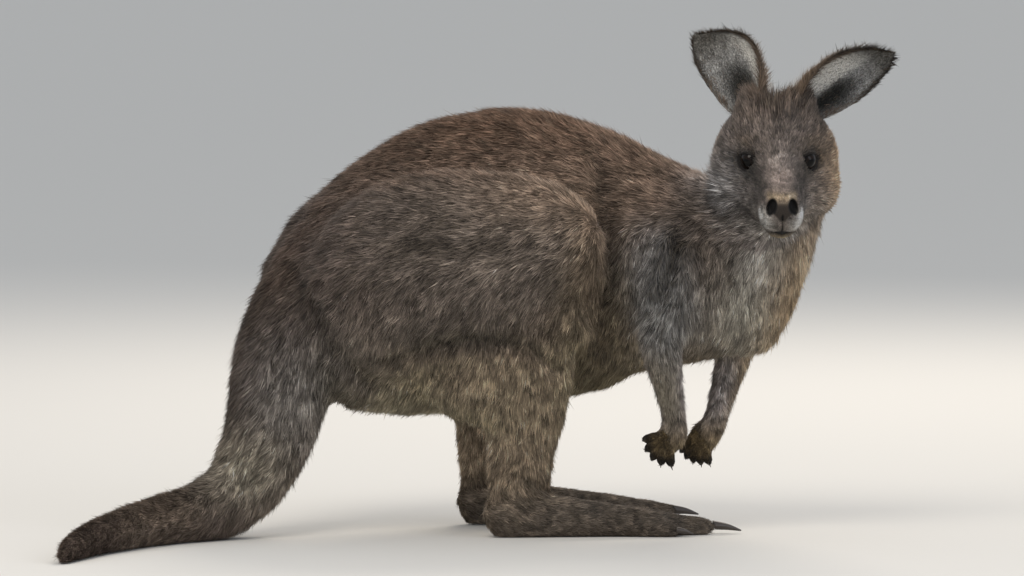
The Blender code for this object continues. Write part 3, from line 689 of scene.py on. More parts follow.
@dataclass(frozen=True)
class FaceFur:
    """How the head's coat changes: short on the muzzle, ruffed on the cheeks, tall on the crown.

    A pair is the start and the end of a soft ramp in the head's frame, unless its comment says
    otherwise.
    """

    muzzle: Pair = (20.0, 96.0)     # forward
    muzzle_shorter: float = 0.66
    muzzle_finer: float = 0.45
    cheek_out: Pair = (34.0, 56.0)
    cheek_height: Pair = (20.0, -20.0)
    cheek_front: Pair = (70.0, 40.0)
    crown_height: Pair = (46.0, 64.0)
    crown_front: Pair = (14.0, -10.0)
    crown_out: Pair = (52.0, 20.0)
    bunched: Pair = (20.0, -20.0)   # to the side that the head turns to
    cheek_longer: Pair = (0.15, 0.8)    # on both cheeks, and more where it bunches up
    cheek_higher: Pair = (0.1, 0.5)     # the same
    crown_longer: float = 1.7
    crown_higher: float = 1.1

    def trimmed(
        self, local: np.ndarray, head: np.ndarray, length: np.ndarray, width: np.ndarray, lift: np.ndarray
    ) -> tuple[np.ndarray, np.ndarray, np.ndarray]:
        """Shorten and ruffle the head's coat.

        Args:
            local: Places in the head's frame.
            head: Which of them are on the head.
            length: Of the tufts there.
            width: Of the tufts there.
            lift: Of the tufts there.

        Returns:
            The new lengths, widths and lifts.
        """
        x, y, z = local.T
        out = np.abs(y)
        ahead = smooth(*self.muzzle, x) * head
        cheek = smooth(*self.cheek_out, out) * smooth(*self.cheek_height, z)
        cheek = cheek * smooth(*self.cheek_front, x) * head
        crown = smooth(*self.crown_height, z) * smooth(*self.crown_front, x)
        crown = crown * smooth(*self.crown_out, out) * head
        # The head's turn bunches up the coat of the right cheek and draws out that of the left.
        bunched = smooth(*self.bunched, y)
        length = length * (1 - self.muzzle_shorter * ahead)
        even, more = self.cheek_longer
        length = length * (1 + (even + more * bunched) * cheek + self.crown_longer * crown)
        even, more = self.cheek_higher
        lift = lift * (1 + (even + more * bunched) * cheek + self.crown_higher * crown)
        return length, width * (1 - self.muzzle_finer * ahead), lift


# ---- The skin ----
@dataclass
class Skin:
    """The animal's one skin, with its lids, nostrils and mouth."""

    voxel: float = 4.6              # grid that closes the parting cuts
    overlap: float = 0.35           # that each solid is swollen by, so that neighbours meet
    passes: int = 26                # of smoothing
    smoothing: float = 0.6          # how far one pass goes where a part is quite soft
    soften_passes: int = 6          # over which the parts' softness runs together
    spread_passes: int = 90         # over which the parts' values run into each other
    fine_passes: int = 4            # of smoothing where the mesh is refined, and of the way inwards
    pull: float = 0.5               # towards the neighbours' average in one pass
    face_reach: float = -4.0        # ahead of which the head's mesh is refined
    muzzle_reach: float = 86.0      # ahead of which it is refined again, as it is near the eyes
    eye_reach: float = 26.0
    ramp: float = 4.0               # half width of the edge between fine and coarse
    muzzle_thin: float = 0.75       # how much shallower the coat is on the muzzle
    muzzle_ramp: Pair = (30.0, 95.0)
    sole_thin: float = 0.9          # and under the feet
    thin_facing: Pair = (-0.6, -0.95)   # how far down the skin faces there
    thin_height: Pair = (20.0, 6.0)
    head_middle: Triple = (20.0, 0.0, 0.0)
    head_radius: float = 125.0
    sole: str = "#2a2521"
    sole_facing: Pair = (-0.75, -0.95)
    sole_height: Pair = (4.0, 1.5)
    piece: bpy.types.Object = field(default=None, repr=False)

    def build(self) -> None:
        """Melt the solids of flesh into one skin and shape it."""
        self.piece = self.melted()
        mesh = self.piece.data
        self.lay_values(mesh)
        self.sink(mesh)
        self.refine(mesh)
        self.sculpt(mesh)

    def melted(self) -> bpy.types.Object:
        """Join the solids of flesh, and the eyes to close their sockets, into one closed mesh.

        Returns:
            The skin's object.
        """
        whole = bmesh.new()
        for name in [*FLESH, "eye_left", "eye_right"]:
            part = welded(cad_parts[name].data)
            set_points(part, points_of(part) + normals_of(part) * self.overlap * MM)
            whole.from_mesh(part)
            bpy.data.meshes.remove(part)
        piece = shown("skin", mesh_of("skin", whole))
        melt = piece.modifiers.new("melt", "REMESH")
        melt.mode = "VOXEL"
        melt.voxel_size = self.voxel * MM
        return settled(piece)

    def lay_values(self, mesh: bpy.types.Mesh) -> None:
        """Give each vertex its part's coat, run together where parts meet, and smooth the shape.

        Args:
            mesh: The skin's mesh.
        """
        corners, faces, owner = [], [], []
        for name in FLESH:
            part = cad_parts[name].data
            start = sum(len(rows) for rows in corners)
            corners.append(points_of(part))
            for face in part.polygons:
                faces.append([start + k for k in face.vertices])
                owner.append(name)
        tree = BVHTree.FromPolygons([tuple(p) for p in np.concatenate(corners)], faces)
        points = points_of(mesh)
        names = [owner[tree.find_nearest(Vector(p))[2]] for p in points]
        edges = edges_of(mesh)
        soften = np.array([FUR[kind_of(name)].soften for name in names])
        soften = averaged(soften[:, None], edges, self.soften_passes, self.pull)
        set_points(mesh, averaged(points, edges, self.passes, self.smoothing * soften))
        known = {name: coat_row(name) for name in FLESH}
        rows = np.array([known[name] for name in names])
        way = slice(COAT_LABELS.index("way_x"), COAT_LABELS.index("way_z") + 1)
        rows[:, way] = Lie().turned(in_animal(points), names, rows[:, way])
        rows = averaged(rows, edges, self.spread_passes, self.pull)
        part = np.array([FLESH.index(name) for name in names], float)
        rows = np.concatenate([rows, part[:, None]], axis=1)
        for k, label in enumerate(COAT_LABELS):
            layer = mesh.attributes.new(label, "FLOAT", "POINT")
            layer.data.foreach_set("value", rows[:, k].astype(np.float32))

    def sink(self, mesh: bpy.types.Mesh) -> None:
        """Move the skin inwards by the depth of the coat, less on the muzzle and under the feet.

        Args:
            mesh: The skin's mesh.
        """
        points, normals = points_of(mesh), normals_of(mesh)
        depth = self.values(mesh, "depth")
        ahead = HEAD.inward(points)[:, 0] * self.on_head(points)
        depth *= 1 - self.muzzle_thin * smooth(*self.muzzle_ramp, ahead)
        under = smooth(*self.thin_facing, normals[:, 2]) * smooth(*self.thin_height, points[:, 2] / MM)
        depth *= 1 - self.sole_thin * under
        sunk = averaged(normals, edges_of(mesh), self.fine_passes, self.pull)
        set_points(mesh, points - unit(sunk) * (depth * MM)[:, None])

    def fine(self, local: np.ndarray) -> tuple[np.ndarray, np.ndarray]:
        """Tell where the head's mesh is refined.

        Args:
            local: Places in the head's frame.

        Returns:
            How much each place is refined once, and how much twice.
        """
        once = smooth(self.face_reach - self.ramp, self.face_reach + self.ramp, local[:, 0])
        twice = smooth(self.muzzle_reach - self.ramp, self.muzzle_reach + self.ramp, local[:, 0])
        for eye in EYES.values():
            away = np.linalg.norm(local - eye.middle, axis=1)
            twice = np.maximum(twice, smooth(self.eye_reach + self.ramp, self.eye_reach - self.ramp, away))
        return once, twice

    def refine(self, mesh: bpy.types.Mesh) -> None:
        """Divide the faces of the head's front, so that lids and lips can be shaped.

        Args:
            mesh: The skin's mesh.
        """
        for level in range(2):
            shape = bmesh.new()
            shape.from_mesh(mesh)
            places = np.array([vert.co for vert in shape.verts])
            inside = self.fine(HEAD.inward(places))[level] * self.on_head(places) > 0.5
            edges = [edge for edge in shape.edges if all(inside[vert.index] for vert in edge.verts)]
            bmesh.ops.subdivide_edges(shape, edges=edges, cuts=1, use_grid_fill=True)
            shape.to_mesh(mesh)
            shape.free()
            points = points_of(mesh)
            near = self.fine(HEAD.inward(points))[level] * self.on_head(points)
            set_points(mesh, averaged(points, edges_of(mesh), self.fine_passes, self.pull * near))

    def on_head(self, points: np.ndarray) -> np.ndarray:
        """Tell the head's places, 1, from those that only lie in front of its frame, 0."""
        local = HEAD.inward(points)
        return 1.0 * (np.linalg.norm(local - np.array(self.head_middle), axis=1) < self.head_radius)

    def values(self, mesh: bpy.types.Mesh, label: str) -> np.ndarray:
        """Read one value of each vertex."""
        return read_rows(mesh.attributes[label].data, "value", 1)[:, 0].astype(float)

    def sculpt(self, mesh: bpy.types.Mesh) -> None:
        """Shape the lids, nostrils, lips and mouth, and press in the body's folds.

        Args:
            mesh: The skin's mesh.
        """
        points = points_of(mesh)
        local = HEAD.inward(points)
        head = self.on_head(points) > 0.5
        local[head] = MUZZLE.shaped(local[head])
        for eye in EYES.values():
            local[head] = eye.lids(local[head])
        points, normals = HEAD.outward(local), normals_of(mesh)
        body = np.round(self.values(mesh, "part")).astype(int) != FLESH.index("head")
        for fold in FOLDS:
            points[body] = fold.pressed(points[body], normals[body])
        set_points(mesh, points)

    def surface(self) -> Surface:
        """Read the finished skin, with the coat's values and its coloured pattern, painted shade and
        painted highlights.

        Returns:
            What each vertex of the skin is.
        """
        mesh = self.piece.data
        mesh.calc_loop_triangles()
        faces = read_rows(mesh.loop_triangles, "vertices", 3, np.int32)
        points, normals = points_of(mesh), normals_of(mesh)
        row = {label: self.values(mesh, label) for label in COAT_LABELS}
        part = np.round(row["part"]).astype(int)
        tone = np.stack([row["tone_r"], row["tone_g"], row["tone_b"]], axis=1)
        way = np.stack([row["way_x"], row["way_y"], row["way_z"]], axis=1)
        colour = marked(points, normals, tone, part)
        head = part == FLESH.index("head")
        # Painted shade in the body's folds.
        for fold in FOLDS:
            colour = colour * (1 - fold.shade(points, normals) * ~head)[:, None]
        local = HEAD.inward(points)
        length, width, lift = FaceFur().trimmed(local, head, row["length"], row["width"], row["lift"])
        bare = np.zeros(len(points))
        for eye in EYES.values():
            rim, around, dark = (share * head for share in eye.rings(local))
            bare = np.maximum(bare, rim)
            length = length * (1 - eye.hair_shorter * around)
            lift = lift * (1 - eye.hair_flatter * around)
            # Dark bare rims, and dark fur with painted shade of the eye's hollow round them.
            colour = mixed(colour, linear(eye.rim_colour), dark)
        colour, naked = MUZZLE.coloured(local, colour, head)
        under = smooth(*self.sole_facing, normals[:, 2]) * smooth(*self.sole_height, points[:, 2] / MM)
        colour = mixed(colour, linear(self.sole), under)
        bare = np.maximum(np.maximum(bare, naked), under)
        return Surface(points, faces, length, width, lift, way, colour, COVER * (1 - bare), bare, part)

    def finished(self, surface: Surface) -> bpy.types.Object:
        """Make the final skin from its surface, ears and all, and unwrap it.

        Args:
            surface: The body's and the ears' surface.

        Returns:
            The skin's object.
        """
        old = self.piece.data
        mesh = mesh_from("skin", surface.points, surface.faces)
        paint(mesh, surface.colour)
        layer = mesh.attributes.new("bare", "FLOAT", "POINT")
        layer.data.foreach_set("value", surface.bare.astype(np.float32))
        self.piece.data = mesh
        bpy.data.meshes.remove(old)
        unwrap(self.piece)
        mesh.materials.append(FurredSkin().material())
        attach(self.piece, BODY)
        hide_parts(*FLESH, "ear_left", "ear_right")
        return self.piece


MAP_ANGLE = 66.0        # degrees between faces that may lie on one island of the map
MAP_MARGIN = 0.002      # between its islands


def unwrap(piece: bpy.types.Object) -> None:
    """Lay the skin out flat, by the way its faces turn, on a map of its own.

    Args:
        piece: The skin.
    """
    piece.data.uv_layers.new(name=UV_NAME)
    bpy.context.view_layer.objects.active = piece
    piece.select_set(True)
    bpy.ops.object.mode_set(mode="EDIT")
    bpy.ops.mesh.select_all(action="SELECT")
    bpy.ops.uv.smart_project(angle_limit=math.radians(MAP_ANGLE), island_margin=MAP_MARGIN)
    bpy.ops.object.mode_set(mode="OBJECT")
    piece.select_set(False)


# ---- Eyes ----
@dataclass
class Eye:
    """One eyeball, and the lids that the skin forms round it."""

    side: Side
    radius: float = 14.0
    look: Triple = (0.80, 0.60, 0.04)   # forward, out, up
    corner_angle: float = 71.0      # from the pupil to each corner of the lids
    upper_angle: float = 42.0       # from the pupil to the middle of the upper lid
    lower_angle: float = 53.0
    upper_power: float = 2.9        # 2 would be half an oval, more is flatter
    lower_power: float = 2.0
    lid_thickness: float = 1.5
    lid_swell: float = 0.5          # more of it away from the rim
    rim_slot: float = 0.075         # the rim's half width, of the opening's size
    slot_share: float = 0.4         # of it, to which the points in the slot are set
    nearest: float = 0.5            # least depth ahead of the ball's middle
    beyond: float = 9.0             # the place of points that lie behind that
    leaving: Pair = (1.35, 1.8)     # distance, of the radius, where points leave the lids
    leaving_by: float = 4.0
    worked: float = 2.6             # how far out of the opening points are moved
    worked_reach: float = 2.2       # distance, of the radius
    tucked: float = 1.6             # of the skin behind the rims, under the ball's surface
    crease_depth: float = 0.7       # over the upper lid
    crease_rise: Pair = (0.0, 0.3)  # above the pupil, as a tangent, where it fades in
    # Places past the rim, as shares of the opening's size.
    rim_edge: Pair = (-0.035, 0.035)    # where the skin turns in behind the rim
    swell_at: Pair = (0.05, 0.4)
    crease_at: float = 0.42
    crease_width: float = 0.12
    free: Pair = (0.16, 1.0)        # where the skin lets go of the ball's shape
    # Places round the opening, 1 at the lids' rims.
    rim_ring: Pair = (1.24, 1.14)   # bare
    hair_ring: Pair = (2.1, 1.35)   # with shorter hair
    # dark fur with painted shade of the eye's hollow
    dark_ring: Pair = (1.95, 1.25)
    # What changes there.
    rim_colour: str = "#15110f"
    rim_dark: float = 0.97
    ring_dark: float = 0.85
    hair_shorter: float = 0.68
    hair_flatter: float = 0.35
    # The ball. Places on it are 0 at the pupil's middle and 1 at right angles to it.
    cornea_rise: float = 0.9
    cornea_angle: float = 30.0      # degrees from the pupil's middle
    pupil: str = "#040302"
    pupil_edge: Pair = (0.30, 0.37)
    pupil_squeeze: float = 0.72     # it is wider than tall
    iris: str = "#170f0a"
    iris_edge: Pair = (0.50, 0.66)
    fibres: float = 46.0            # round the iris
    fibre_waves: float = 7.0
    fibre_sway: float = 2.2
    fibre_light: Pair = (0.6, 0.8)  # the least, and how much more
    white: str = "#0a0705"          # as good as black, as in a kangaroo's eye

    @property
    def middle(self) -> np.ndarray:
        """The ball's middle in the head's frame."""
        forward, out, up = HEAD.eye_at
        return np.array([forward, self.side.value * out, up])

    @property
    def axes(self) -> np.ndarray:
        """Find the eye's axes in the head's frame.

        Returns:
            As rows: across to the front corner, up, and ahead.
        """
        ahead = unit(np.array([self.look[0], self.side.value * self.look[1], self.look[2]]))
        across = unit(np.cross([0, 0, 1.0], ahead)) * -self.side.value
        up = unit(np.cross(ahead, across)) * -self.side.value
        return np.stack([across, up, ahead])

    def opening(self, local: np.ndarray) -> tuple[np.ndarray, np.ndarray]:
        """Place points round the opening between the lids.

        Args:
            local: Points in the head's frame.

        Returns:
            How far out each lies, 1 at the lids' rims, and its tangents across and up.
        """
        across, up, ahead = ((local - self.middle) @ self.axes.T).T
        depth = np.maximum(ahead, self.nearest)
        level, rise = np.degrees(np.arctan(across / depth)), np.degrees(np.arctan(up / depth))
        tall = np.where(rise > 0, self.upper_angle, self.lower_angle)
        power = np.where(rise > 0, self.upper_power, self.lower_power)
        out = (np.abs(level / self.corner_angle) ** power + np.abs(rise / tall) ** power) ** (1 / power)
        away = np.linalg.norm(local - self.middle, axis=1) / self.radius
        out += self.leaving_by * smooth(*self.leaving, away)
        out = np.where(ahead > self.nearest, out, self.beyond)
        return out, np.stack([across / depth, up / depth], axis=1)

    def lids(self, local: np.ndarray) -> np.ndarray:
        """Shape the skin's points into lids over the ball.

        Args:
            local: The skin's points in the head's frame.

        Returns:
            The moved points.
        """
        out, tangents = self.opening(local)
        reach = np.linalg.norm(local - self.middle, axis=1)
        near = (out < self.worked) & (reach < self.radius * self.worked_reach)
        gap = out[near] - 1
        gap = np.where(np.abs(gap) < self.rim_slot, np.sign(gap) * self.slot_share * self.rim_slot, gap)
        scale = (1 + gap) / np.maximum(out[near], 1e-6)
        spread = tangents[near] * scale[:, None]
        ways = unit(spread[:, :1] * self.axes[0] + spread[:, 1:] * self.axes[1] + self.axes[2])
        edge = smooth(*self.rim_edge, gap)
        hidden = self.radius - self.tucked
        lid = self.radius + self.lid_thickness + self.lid_swell * smooth(*self.swell_at, gap)
        above = smooth(*self.crease_rise, spread[:, 1])
        crease = self.crease_depth * bump(gap - self.crease_at, self.crease_width) * above
        free = smooth(*self.free, gap)
        shell = hidden + (lid - crease - hidden) * edge
        target = shell * (1 - free) + reach[near] * free
        moved = local.copy()
        moved[near] = self.middle + ways * target[:, None]
        return moved

    def rings(self, local: np.ndarray) -> tuple[np.ndarray, np.ndarray, np.ndarray]:
        """Tell how the skin changes round the lids.

        Args:
            local: Places in the head's frame.

        Returns:
            How bare each place is, how much shorter its hair, and how dark it is: dark bare rims, and dark
            fur with painted shade of the eye's hollow round them.
        """
        out, _ = self.opening(local)
        rim = smooth(*self.rim_ring, out)
        dark = np.maximum(self.rim_dark * rim, self.ring_dark * smooth(*self.dark_ring, out))
        return rim, smooth(*self.hair_ring, out), dark

    def eye_colours(self, ball: np.ndarray) -> np.ndarray:
        """Colour the pupil, the iris with its fibres, and the rest of the ball.

        Args:
            ball: Points of a ball of radius 1, the last coordinate ahead.

        Returns:
            One linear colour for each.
        """
        across, up, _ = ball.T
        turn = np.arctan2(up, across)
        sway = self.fibre_sway * np.sin(turn * self.fibre_waves)
        fibre = 0.5 + 0.5 * np.sin(turn * self.fibres + sway)
        least, more = self.fibre_light
        iris = linear(self.iris)[None, :] * (least + more * fibre[:, None])
        out_of_pupil = smooth(*self.pupil_edge, np.hypot(across * self.pupil_squeeze, up))
        colour = mixed(linear(self.pupil), iris, out_of_pupil)
        return mixed(colour, linear(self.white), smooth(*self.iris_edge, np.hypot(across, up)))

    def build(self) -> bpy.types.Object:
        """Build the eyeball, with its bulging cornea, pupil and iris.

        Returns:
            The eyeball's object.
        """
        shape = bmesh.new()
        bmesh.ops.create_uvsphere(shape, u_segments=96, v_segments=72, radius=1.0)
        ball = np.array([vert.co for vert in shape.verts])
        mesh = mesh_of(f"eyeball_{self.side.word}", shape)
        off_axis = np.degrees(np.arccos(np.clip(ball[:, 2], -1, 1)))
        reach = self.radius + self.cornea_rise * bump(off_axis, self.cornea_angle)
        local = self.middle + (ball * reach[:, None]) @ self.axes
        set_points(mesh, HEAD.outward(local))
        if self.side is Side.LEFT:
            mesh.flip_normals()
        mesh.shade_smooth()
        paint(mesh, self.eye_colours(ball))
        piece = shown(f"eyeball_{self.side.word}", mesh)
        mesh.materials.append(WetEye().material())
        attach(piece, BODY)
        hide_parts(f"eye_{self.side.word}")
        return piece


EYES = {side: Eye(side) for side in Side}


# ---- Ears ----
EAR_PART = -1       # in place of a node's number


@dataclass(frozen=True)
class Leaf:
    """An ear's bare sheet, and where each of its vertices lies on it."""

    points: np.ndarray              # in the model, metres
    faces: np.ndarray
    up: np.ndarray                  # share of the ear's length
    across: np.ndarray              # -1 at the inner edge and 1 at the outer one
    inside: np.ndarray              # 1 on the hollow face, 0 on the back
    way: np.ndarray                 # the direction of the tip
    edge: np.ndarray                # the direction of the outer edge


@dataclass(frozen=True)
class EarCoat:
    """An ear's short coat: a pale fringe in the hollow, a brown fold beside it, a brown back, and painted
    shade deep in the hollow.
    """

    folded: float                   # where the brown fold of the inner margin ends
    fringe: float                   # width of the pale fringe beside it
    hollow: float                   # how far across the painted shade in the hollow lies
    fold_end: float = 0.95          # where the fold ends at the tip
    inside_colour: str = "#b2b1ae"
    hollow_shade_colour: str = "#393936"    # painted shade in the hollow's depth
    inside_tip: str = "#84817a"
    fringe_colour: str = "#f0ede6"
    back: str = "#6f5f51"
    back_tip: str = "#332b25"
    rim_colour: str = "#2a2420"
    length: float = 6.5             # of a tuft inside
    back_longer: float = 2.5
    fringe_longer: float = 7.0
    foot_longer: float = 7.0
    fold_longer: float = 3.5
    width: float = 1.15
    lift: float = 12.0
    fringe_lift: float = 18.0       # more
    rim_lift: float = 7.0
    fold_lift: float = 8.0
    aside: float = 0.55             # of the lie, at the ear's edges
    cover: float = 3.4
    inside_thinner: float = 0.6
    fringe_thicker: float = 1.2
    # Soft ramps up the ear, shares of its length.
    fold_rise: Pair = (0.1, 0.85)
    fringe_top: Pair = (0.85, 0.55)
    foot: Pair = (0.35, 0.0)
    buried: float = -0.02           # below this there are no tufts
    tip: Pair = (0.6, 0.95)
    back_tip_at: Pair = (0.4, 1.0)
    rim_dark_at: Pair = (0.3, 0.7)
    # Soft ramps across it.
    rim: Pair = (0.8, 1.0)
    fold_edge: float = 0.07
    fringe_edge: Pair = (0.12, -0.16)
    # The painted shade in the hollow's depth is an oval round a place up the ear and across it.
    hollow_shade_at: float = 0.28
    deep_size: Pair = (0.55, 0.72)
    hollow_shade_edge: Pair = (0.85, 0.2)
    fold_aside: float = -0.9        # of the lie, more
    fringe_aside: float = 0.7
    fringe_strength: float = 0.95
    rim_strength: float = 0.8
    rim_browner: float = 0.2        # how much sooner the back's dark tip starts at the rim

    def shares(self, leaf: Leaf) -> tuple[np.ndarray, np.ndarray, np.ndarray, np.ndarray]:
        """Tell where the coat changes.

        Args:
            leaf: The ear's sheet.

        Returns:
            How much each vertex belongs to the brown fold of the inner margin, to the hollow's
            open face, to the pale fringe and to the painted shade in the hollow's depth.
        """
        up, across = leaf.up, leaf.across
        margin = -self.folded - (self.fold_end - self.folded) * smooth(*self.fold_rise, up)
        strip = smooth(margin + self.fold_edge, margin - self.fold_edge, across)
        far = margin + self.fringe
        outer, inner = self.fringe_edge
        open_face = leaf.inside * (1 - strip)
        fringe = open_face * smooth(far + outer, far + inner, across) * smooth(*self.fringe_top, up)
        tall, wide = self.deep_size
        deep = np.hypot((up - self.hollow_shade_at) / tall, (across - self.hollow) / wide)
        return strip, open_face, fringe, open_face * smooth(*self.hollow_shade_edge, deep)

    def over(self, leaf: Leaf) -> "Surface":
        """Give the leaf its coat.

        Args:
            leaf: The ear's sheet.

        Returns:
            The ear's part of the skin.
        """
        strip, open_face, fringe, deep = self.shares(leaf)
        up, across, inside = leaf.up, leaf.across, leaf.inside
        rim = smooth(*self.rim, np.abs(across))
        length = self.length + self.back_longer * (1 - inside) + self.fringe_longer * fringe
        length = length + self.foot_longer * smooth(*self.foot, up) + self.fold_longer * strip
        lift = self.lift + self.fringe_lift * fringe + self.rim_lift * rim + self.fold_lift * strip
        sweep = np.where(inside > 0.5, -self.aside, self.aside) * across
        sweep = sweep + self.fold_aside * strip + self.fringe_aside * fringe
        cover = self.cover - self.inside_thinner * inside * (1 - fringe) * (1 - strip)
        cover = np.where(up < self.buried, 0.0, cover + self.fringe_thicker * fringe)
        ones = np.ones(len(leaf.points))
        return Surface(
            points=leaf.points, faces=leaf.faces, length=length, width=self.width * ones, lift=lift,
            way=leaf.way + leaf.edge * sweep[:, None], cover=cover, bare=0 * ones,
            colour=self.colours(leaf, rim, open_face, fringe, deep), part=np.full(len(ones), EAR_PART),
        )

    def colours(
        self, leaf: Leaf, rim: np.ndarray, open_face: np.ndarray, fringe: np.ndarray, deep: np.ndarray
    ) -> np.ndarray:
        """Colour the leaf's vertices.

        Args:
            leaf: The ear's sheet.
            rim: How near each vertex is to the leaf's edge.
            open_face: How much it belongs to the hollow's open face.
            fringe: How much it belongs to the pale fringe.
            deep: How much it belongs to the painted shade in the hollow's depth.

        Returns:
            One linear colour for each.
        """
        up = leaf.up
        colour = mixed(linear(self.inside_colour), linear(self.hollow_shade_colour), deep)
        colour = mixed(colour, linear(self.inside_tip), leaf.inside * smooth(*self.tip, up))
        colour = mixed(colour, linear(self.fringe_colour), self.fringe_strength * fringe)
        back_dark = smooth(*self.back_tip_at, up + self.rim_browner * rim)
        colour = mixed(mixed(linear(self.back), linear(self.back_tip), back_dark), colour, open_face)
        rim_dark = self.rim_strength * rim * smooth(*self.rim_dark_at, up) * (1 - fringe)
        return mixed(colour, linear(self.rim_colour), rim_dark)


@dataclass
class Ear:
    """One ear: a cupped leaf of thin skin, its hollow turned forward."""

    side: Side
    way: Triple                     # it points this way, in the animal's frame
    turn: float                     # degrees that the hollow turns outward
    coat: EarCoat
    bow: float = 7.0                # how far the middle sways inward
    length: float = 128.0
    thickness: float = 2.4
    edge_thinner: float = 0.6       # of the thickness
    tip_thinner: float = 0.5
    root: Triple = (-38.0, 29.0, 60.0)  # in the head: forward, out, up
    forward: float = 9.0            # of the sheet's middle from the line it rises on
    tip_out: float = 7.0            # of the tip
    sunk: float = 22.0              # of the leaf's foot inside the head
    rows: int = 52
    columns: int = 30
    # Up the ear: share of its length, half width, and degrees that half its sheet curls.
    shape: tuple[Triple, ...] = (
        (0.0, 17, 100), (0.15, 29, 90), (0.3, 36, 74), (0.48, 39, 60),
        (0.66, 35, 50), (0.8, 27, 44), (0.91, 17, 40), (1.0, 4.5, 36),
    )

    def axes(self) -> tuple[np.ndarray, np.ndarray, np.ndarray]:
        """Find the ear's directions in the model.

        Returns:
            The directions of the tip, of the hollow and of the outer edge.
        """
        way = unit(np.array(self.way))
        forward = HEAD.way(np.array([[1.0, 0, 0]]))[0]
        forward = unit(forward - way * (way @ forward))
        outward = np.cross(way, forward)
        outward *= np.sign(outward @ HEAD.way(np.array([[0, float(self.side.value), 0]]))[0])
        angle = math.radians(self.turn)
        hollow = forward * math.cos(angle) + outward * math.sin(angle)
        return way, hollow, outward * math.cos(angle) - forward * math.sin(angle)

    def rings(self, share: np.ndarray, across: np.ndarray) -> np.ndarray:
        """Shape the sheet's two faces.

        Args:
            share: How far up the ear each ring lies, of its length.
            across: How far across the sheet each of its points lies.

        Returns:
            The rings' points, up the ear and then round it.
        """
        way, hollow, edge = self.axes()
        foot = np.array([[self.root[0], self.side.value * self.root[1], self.root[2]]])
        root = in_animal(HEAD.outward(foot))[0]
        heights, half_widths, curls = np.array(self.shape).T
        risen = np.clip(share, 0, 1)
        half = read_curve(heights, half_widths, risen)
        curl = np.radians(read_curve(heights, curls, risen))
        radius = half / np.sin(np.minimum(curl, math.pi / 2))
        sway = self.tip_out * risen**2 - self.bow * np.sin(math.pi * risen)
        middle = root + np.outer(share * self.length, way) + hollow * self.forward + np.outer(sway, edge)
        at = across[None, :] * curl[:, None]
        out = np.sin(at)[..., None] * edge - np.cos(at)[..., None] * hollow
        sheet = middle[:, None] + out * radius[:, None, None]
        sheet = sheet + (np.cos(curl) * radius)[:, None, None] * hollow
        thin = self.thickness * (1 - self.edge_thinner * np.abs(across) ** 4)[None, :]
        thin = thin * (1 - self.tip_thinner * risen**6)[:, None]
        front, back = sheet - out * thin[..., None] / 2, sheet + out * thin[..., None] / 2
        return np.concatenate([front, back[:, ::-1]], axis=1)

    def build(self) -> "Surface":
        """Build the leaf's two faces as one closed sheet, with its coat.

        Returns:
            The ear's part of the skin.
        """
        way, _, edge = self.axes()
        share = np.linspace(-self.sunk / self.length, 1.0, self.rows)
        across = np.linspace(-1, 1, self.columns)
        rings = self.rings(share, across)
        ring = rings.shape[1]
        tip, last = self.rows * ring, (self.rows - 1) * ring
        cap = [(last + k, last + (k + 1) % ring, tip) for k in range(ring)]
        faces = np.concatenate([tube_faces(self.rows, ring), np.array(cap)])
        points = np.concatenate([rings.reshape(-1, 3), rings[-1].mean(axis=0, keepdims=True)])
        if self.side is Side.LEFT:
            faces = faces[:, ::-1]
        round_leaf = np.concatenate([across, across[::-1]])
        inside = np.tile(np.repeat([1.0, 0.0], self.columns), self.rows)
        return self.coat.over(Leaf(
            points=points * MM + STAND, faces=faces, way=way, edge=edge,
            up=np.concatenate([np.repeat(share, ring), [1.0]]),
            across=np.concatenate([np.tile(round_leaf, self.rows), [0.0]]),
            inside=np.concatenate([inside, [0.0]]),
        ))


EARS = {
    Side.RIGHT: Ear(Side.RIGHT, (-0.42, 0.60, 0.66), 6, EarCoat(0.6, 0.48, 0.2), bow=13.5),
    Side.LEFT: Ear(Side.LEFT, (0.82, 0.14, 0.58), 20, EarCoat(0.42, 0.8, 0.5, fold_end=0.7)),
}


# ---- Markings, painted shade and painted highlights ----
FACING = (-0.1, 0.75)       # how nearly the surface faces a patch's way, where the patch fades in


@dataclass(frozen=True)
class Patch:
    """A soft-edged patch of colour on the coat."""

    where: Triple                   # its middle
    size: Triple                    # how far it reaches each way
    colour: str
    strength: float = 1.0
    facing: Triple | None = None    # only where the surface faces this way

    def laid(self, colour: np.ndarray, spots: np.ndarray, normals: np.ndarray) -> np.ndarray:
        """Lay the patch over a coat's colours.

        Args:
            colour: The colours so far.
            spots: The places, in the patch's frame.
            normals: The way the surface faces there, in the model.

        Returns:
            The new colours.
        """
        share = self.strength * np.exp(-np.sum(((spots - self.where) / self.size) ** 2, axis=1))
        if self.facing is not None:
            share = share * smooth(*FACING, normals @ unit(np.array(self.facing)))
        return mixed(colour, linear(self.colour), share)


WIDE = 900.0    # a reach that takes in the whole body

TONES = {
    "head": "#6c625c", "neck": "#b0aaa7", "trunk": "#827063", "tail_base": "#837671",
    "tail_middle": "#877971", "tail_end": "#8a7b6e", "tail_tip": "#62554d", "thigh": "#857a71",
    "shank": "#ab9984", "foot": "#786c5f", "upper_arm": "#8c8a89", "forearm": "#a39c9b", "paw": "#8d7958",
}

